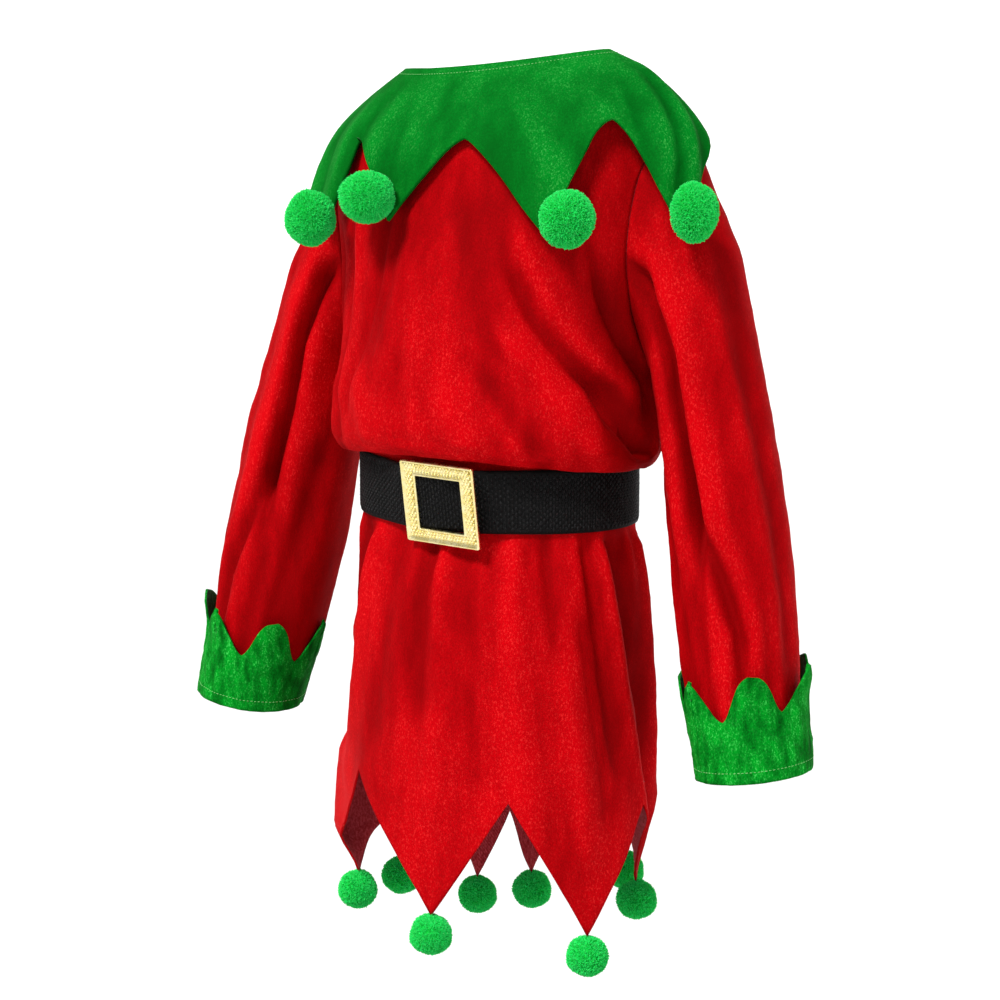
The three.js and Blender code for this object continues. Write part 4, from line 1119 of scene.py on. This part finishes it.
def make_sleeve(name, side, front, back):
    """A sleeve from its armhole, with painted shade in its creases; side is 1 on the left and -1 on the
    right.
    """
    grid = sleeve_grid(side, front, back)
    grid[1:] = uneven(grid, WAVES["sleeve"])[1:]
    ring = np.linspace(0, len(SLEEVE["y"]), grid.shape[0])[:, None]
    turn = np.linspace(0, 360, grid.shape[1], endpoint=False)[None, :]
    # Painted shade in the creases and painted light on the ridges, and painted shade over all of the far
    # sleeve
    painted_shading = sleeve_depth(ring, turn) / FOLD_SHADE_DEPTH["sleeve"] + (0 if side > 0 else FAR_SLEEVE_SHADE)
    sheets = [(grid, True, -side, np.clip(painted_shading, -1, 1))]
    sleeve = cloth(f"velvet_sleeve_{name}", sheets, RED, RED_BACK, VELVET)
    return settle(sleeve, "red_velvet", f"sleeve_{name}")


def make_cuff(name, side):
    """A turned-back cuff and the stitches along its lower edge."""
    grid = uneven(cuff_grid(side, CUFF_TURN[name]), WAVES["cuff"])
    cuff = cloth(f"velvet_cuff_{name}", [(grid, True, side, 0)], CRUSHED, GREEN_BACK, VELVET)
    settle(cuff, "green_velvet", f"cuff_{name}")
    return cuff, stitch_line(f"cuff_stitches_{name}", grid, grid_normals(grid, True) * side, STITCHES["cuff"])


def make_collar():
    """The doubled collar and the stitches along its neckline."""
    grid, painted_shading = collar_grid()
    collar = cloth("velvet_collar", [(grid, True, 1, painted_shading)], GREEN, GREEN_BACK, COLLAR_CLOTH)
    settle(collar, "green_velvet", "collar")
    return collar, stitch_line("collar_stitches", grid, grid_normals(grid, True), STITCHES["collar"])


def make_belt():
    """The elastic band and the ribs of its weave, in columns that are offset by half a step in turn."""
    heights = np.linspace(BELT["top"], BELT["bottom"], BAND_ROWS)[:, None]
    grid = belt_places((np.arange(BAND_COLUMNS) / BAND_COLUMNS * 360)[None, :], heights)
    band = cloth("elastic_band", [(grid, True, 1, 0)], BAND, BAND, BELT["wall"])
    step, inset = RIBS["step"], RIBS["inset"]
    girth = np.linalg.norm(np.diff(grid[0], axis=0), axis=-1).sum()
    count = int(girth / RIBS["pitch"] / 2) * 2
    heights = np.arange(BELT["top"] - inset - step / 2, BELT["bottom"] + inset, -step)
    columns = []
    for column in range(count):
        turn = column / count * 360
        z = heights - (step / 2 if column % 2 else 0)
        z = z[z > BELT["bottom"] + inset]
        here = belt_places(np.full(z.shape, turn), z)
        down = belt_places(np.full(z.shape, turn), z - 1) - here
        aside = belt_places(np.full(z.shape, turn + 0.5), z) - here
        columns.append((here, down, np.cross(down, aside)))
    ribs = rounded_shapes("elastic_ribs", *(np.vstack(part) for part in zip(*columns)), RIBS, RIB)
    return settle(band, "black_elastic", "belt"), settle(ribs, "black_elastic")


def rounded_rectangle(width, height, radius, per_corner=5):
    """The outline of a rectangle with rounded corners, in its own plane."""
    outline = []
    for corner in range(4):
        centre_x = (width / 2 - radius) * (1 if corner in (0, 3) else -1)
        centre_y = (height / 2 - radius) * (1 if corner in (0, 1) else -1)
        for step in range(per_corner):
            angle = math.pi / 2 * (corner + step / (per_corner - 1))
            outline.append((centre_x + radius * math.cos(angle), centre_y + radius * math.sin(angle)))
    return np.array(outline)


def add_bar(shape):
    """The buckle's bar behind the band, with a post at each end."""
    width, thickness, post, root = (BUCKLE_BAR[name] for name in ("width", "thickness", "post", "root"))
    reach = BUCKLE_BAR["gap"] + thickness
    length = BUCKLE["height"] - 2 * BUCKLE_BAR["inset"]
    boxes = [((width, length, thickness), (0, 0, thickness / 2 - reach))]
    for end in (1, -1):
        boxes.append(((width, post, reach + root), (0, end * (length - post) / 2, (root - reach) / 2)))
    for size, middle in boxes:
        made = bmesh.ops.create_cube(shape, size=1)["verts"]
        bmesh.ops.scale(shape, vec=size, verts=made)
        bmesh.ops.translate(shape, vec=middle, verts=made)
        edges = list({edge for vertex in made for edge in vertex.link_edges})
        bmesh.ops.bevel(shape, geom=edges, offset=BUCKLE_BAR["round"], segments=2, affect="EDGES")


def bead_places():
    """The middles of the beads embossed on the buckle, in rows that are offset by half a pitch in turn."""
    half_width, half_height, half_window = BUCKLE["width"] / 2, BUCKLE["height"] / 2, BUCKLE["window"] / 2
    pitch, row_step = EMBOSSING["pitch"], EMBOSSING["row"]
    beads = []
    for row in range(int(BUCKLE["height"] / row_step) + 1):
        y = row * row_step - half_height
        for column in range(int(BUCKLE["width"] / pitch) + 1):
            x = (column + (row % 2) / 2) * pitch - half_width
            within_edge = max(abs(x) - half_width, abs(y) - half_height) < -EMBOSSING["margin"]
            off_window = max(abs(x), abs(y)) > half_window + EMBOSSING["window_margin"]
            if within_edge and off_window:
                beads.append((x, y, BUCKLE["thickness"] - EMBOSSING["sunk"]))
    return beads


def make_buckle():
    """A square cast frame with raised rims and embossed beads, and a bar behind the band."""
    outer = rounded_rectangle(BUCKLE["width"], BUCKLE["height"], BUCKLE["round"])
    inner = rounded_rectangle(BUCKLE["window"], BUCKLE["window"], BUCKLE["window_round"])
    rings = []
    for share, drop in BUCKLE_PROFILE:
        height = np.full(len(outer), BUCKLE["thickness"] - drop)
        rings.append(np.column_stack([outer * (1 - share) + inner * share, height]))
    places = np.vstack(rings)
    faces = grid_faces(len(rings) + 1, len(outer), True) % len(places)
    mesh = bpy.data.meshes.new("buckle frame")
    mesh.from_pydata(places.tolist(), [], faces.tolist())
    shape = bmesh.new()
    shape.from_mesh(mesh)
    add_bar(shape)
    bmesh.ops.recalc_face_normals(shape, faces=shape.faces)
    shape.to_mesh(mesh)
    shape.free()
    mesh.materials.append(GOLD)
    shade_smooth(mesh)
    beads = bead_places()
    running = [(EMBOSSING["slant"], 1, 0)] * len(beads)
    dots = rounded_shapes("embossing", beads, running, [(0, 0, 1)] * len(beads), EMBOSSING, GOLD)
    turned = Euler((math.radians(90 + BUCKLE["lean"]), math.radians(BUCKLE["swing"]), 0), "YXZ").to_matrix()
    seat = Matrix.Translation(Vector(BUCKLE["place"]) * MM) @ turned.to_4x4()
    mesh.transform(seat @ Matrix.Scale(MM, 4))
    dots.data.transform(seat)
    settle(added("gold_buckle", mesh), "gold_buckle", "buckle")
    settle(dots, "gold_buckle")


def make_pompom(name, size, shape, number):
    """A ball of cut yarn at its node: shape stretches it along x, y and z."""
    low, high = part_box(name)
    centre = (Vector(low) + Vector(high)) / 2
    seed, radius = size["seed"] + number, size["radius"] * MM
    core = radius * POMPOM["core"]
    ball = bmesh.new()
    bmesh.ops.create_icosphere(ball, subdivisions=3, radius=1)
    for vertex in ball.verts:
        coarse = noise.noise(vertex.co * 1.5 + Vector((seed, 0, 0)))
        fine = noise.noise(vertex.co * 4 + Vector((0, seed, 0)))
        reach = core * (1 + POMPOM["lumps"] * (coarse + 0.5 * fine))
        vertex.co = centre + Vector([vertex.co[axis] * shape[axis] * reach for axis in range(3)])
    carrier = bpy.data.meshes.new(name + "_core")
    ball.to_mesh(carrier)
    ball.free()
    pompom = grown(name + "_yarn", carrier, STRANDS, {
        "Strands": size["strands"] / (4 * math.pi * core ** 2), "Strand length": radius * POMPOM["strand"],
        "Strand width": POMPOM["strand_width"] * MM, "Tilt": POMPOM["tilt"], "Seed": seed, "Material": YARN})
    settle(pompom, "green_yarn", name)


# Camera, light and floor

def aim(thing, azimuth, elevation):
    """Turns a camera or light to look back from a place round to the wearer's left and up, in degrees."""
    turn, rise = math.radians(azimuth), math.radians(elevation)
    away = Vector((math.sin(turn) * math.cos(rise), -math.cos(turn) * math.cos(rise), math.sin(rise)))
    thing.rotation_euler = (-away).to_track_quat("-Z", "Y").to_euler()
    return away


def make_camera():
    """The camera where the photo was taken from, slightly shifted sideways."""
    data = bpy.data.cameras.new("camera")
    data.lens, data.sensor_width, data.shift_x = LENS, SENSOR, SHIFT
    camera = added("camera", data)
    away = aim(camera, CAMERA["azimuth"], CAMERA["elevation"])
    camera.location = Vector(CAMERA["target"]) + away * CAMERA["distance"]
    bpy.context.scene.camera = camera


def make_light():
    """One broad distant light from above, and an even light from all round."""
    data = bpy.data.lights.new("key", "SUN")
    data.energy, data.angle = KEY_LIGHT["strength"], math.radians(KEY_LIGHT["spread"])
    aim(added("key", data), KEY_LIGHT["azimuth"], KEY_LIGHT["elevation"])
    world = bpy.data.worlds.new("plain light")
    world.use_nodes = True
    fill(world.node_tree, world.node_tree.nodes["Background"], {"Color": (1, 1, 1, 1), "Strength": SKY_LIGHT})
    bpy.context.scene.world = world
    bpy.context.scene.view_settings.view_transform = "Standard"


def make_floor():
    """A pale floor well below the hem that sweeps up all round."""
    turns = [2 * math.pi * side / FLOOR_SIDES for side in range(FLOOR_SIDES)]
    corners = [(reach * math.cos(turn), reach * math.sin(turn), FLOOR_HEIGHT + rise)
               for reach, rise in FLOOR_PROFILE for turn in turns]
    around_middle = grid_faces(len(FLOOR_PROFILE), FLOOR_SIDES, True)[:, ::-1].tolist()
    mesh = bpy.data.meshes.new("floor")
    mesh.from_pydata(corners, [], [list(range(FLOOR_SIDES)), *around_middle])
    shade_smooth(mesh)
    mesh.materials.append(FLOOR)
    added("floor", mesh)


make_camera()
tunic, front_grid, back_grid = make_tunic()
sleeves = [make_sleeve(name, side, front_grid, back_grid) for name, side in (("left", 1), ("right", -1))]
cuffs = [make_cuff(name, side) for name, side in (("left", 1), ("right", -1))]
collar, collar_seam = make_collar()
belt, belt_ribs = make_belt()
make_buckle()
for number, (name, shape) in enumerate(COLLAR_POMPOMS.items()):
    make_pompom(f"pompom_collar_{name}", COLLAR_POMPOM, shape, number)
for number, name in enumerate(HEM_POMPOMS):
    make_pompom(f"pompom_hem_{name}", HEM_POMPOM, HEM_POMPOM_SHAPE, number)

make_light()
make_floor()
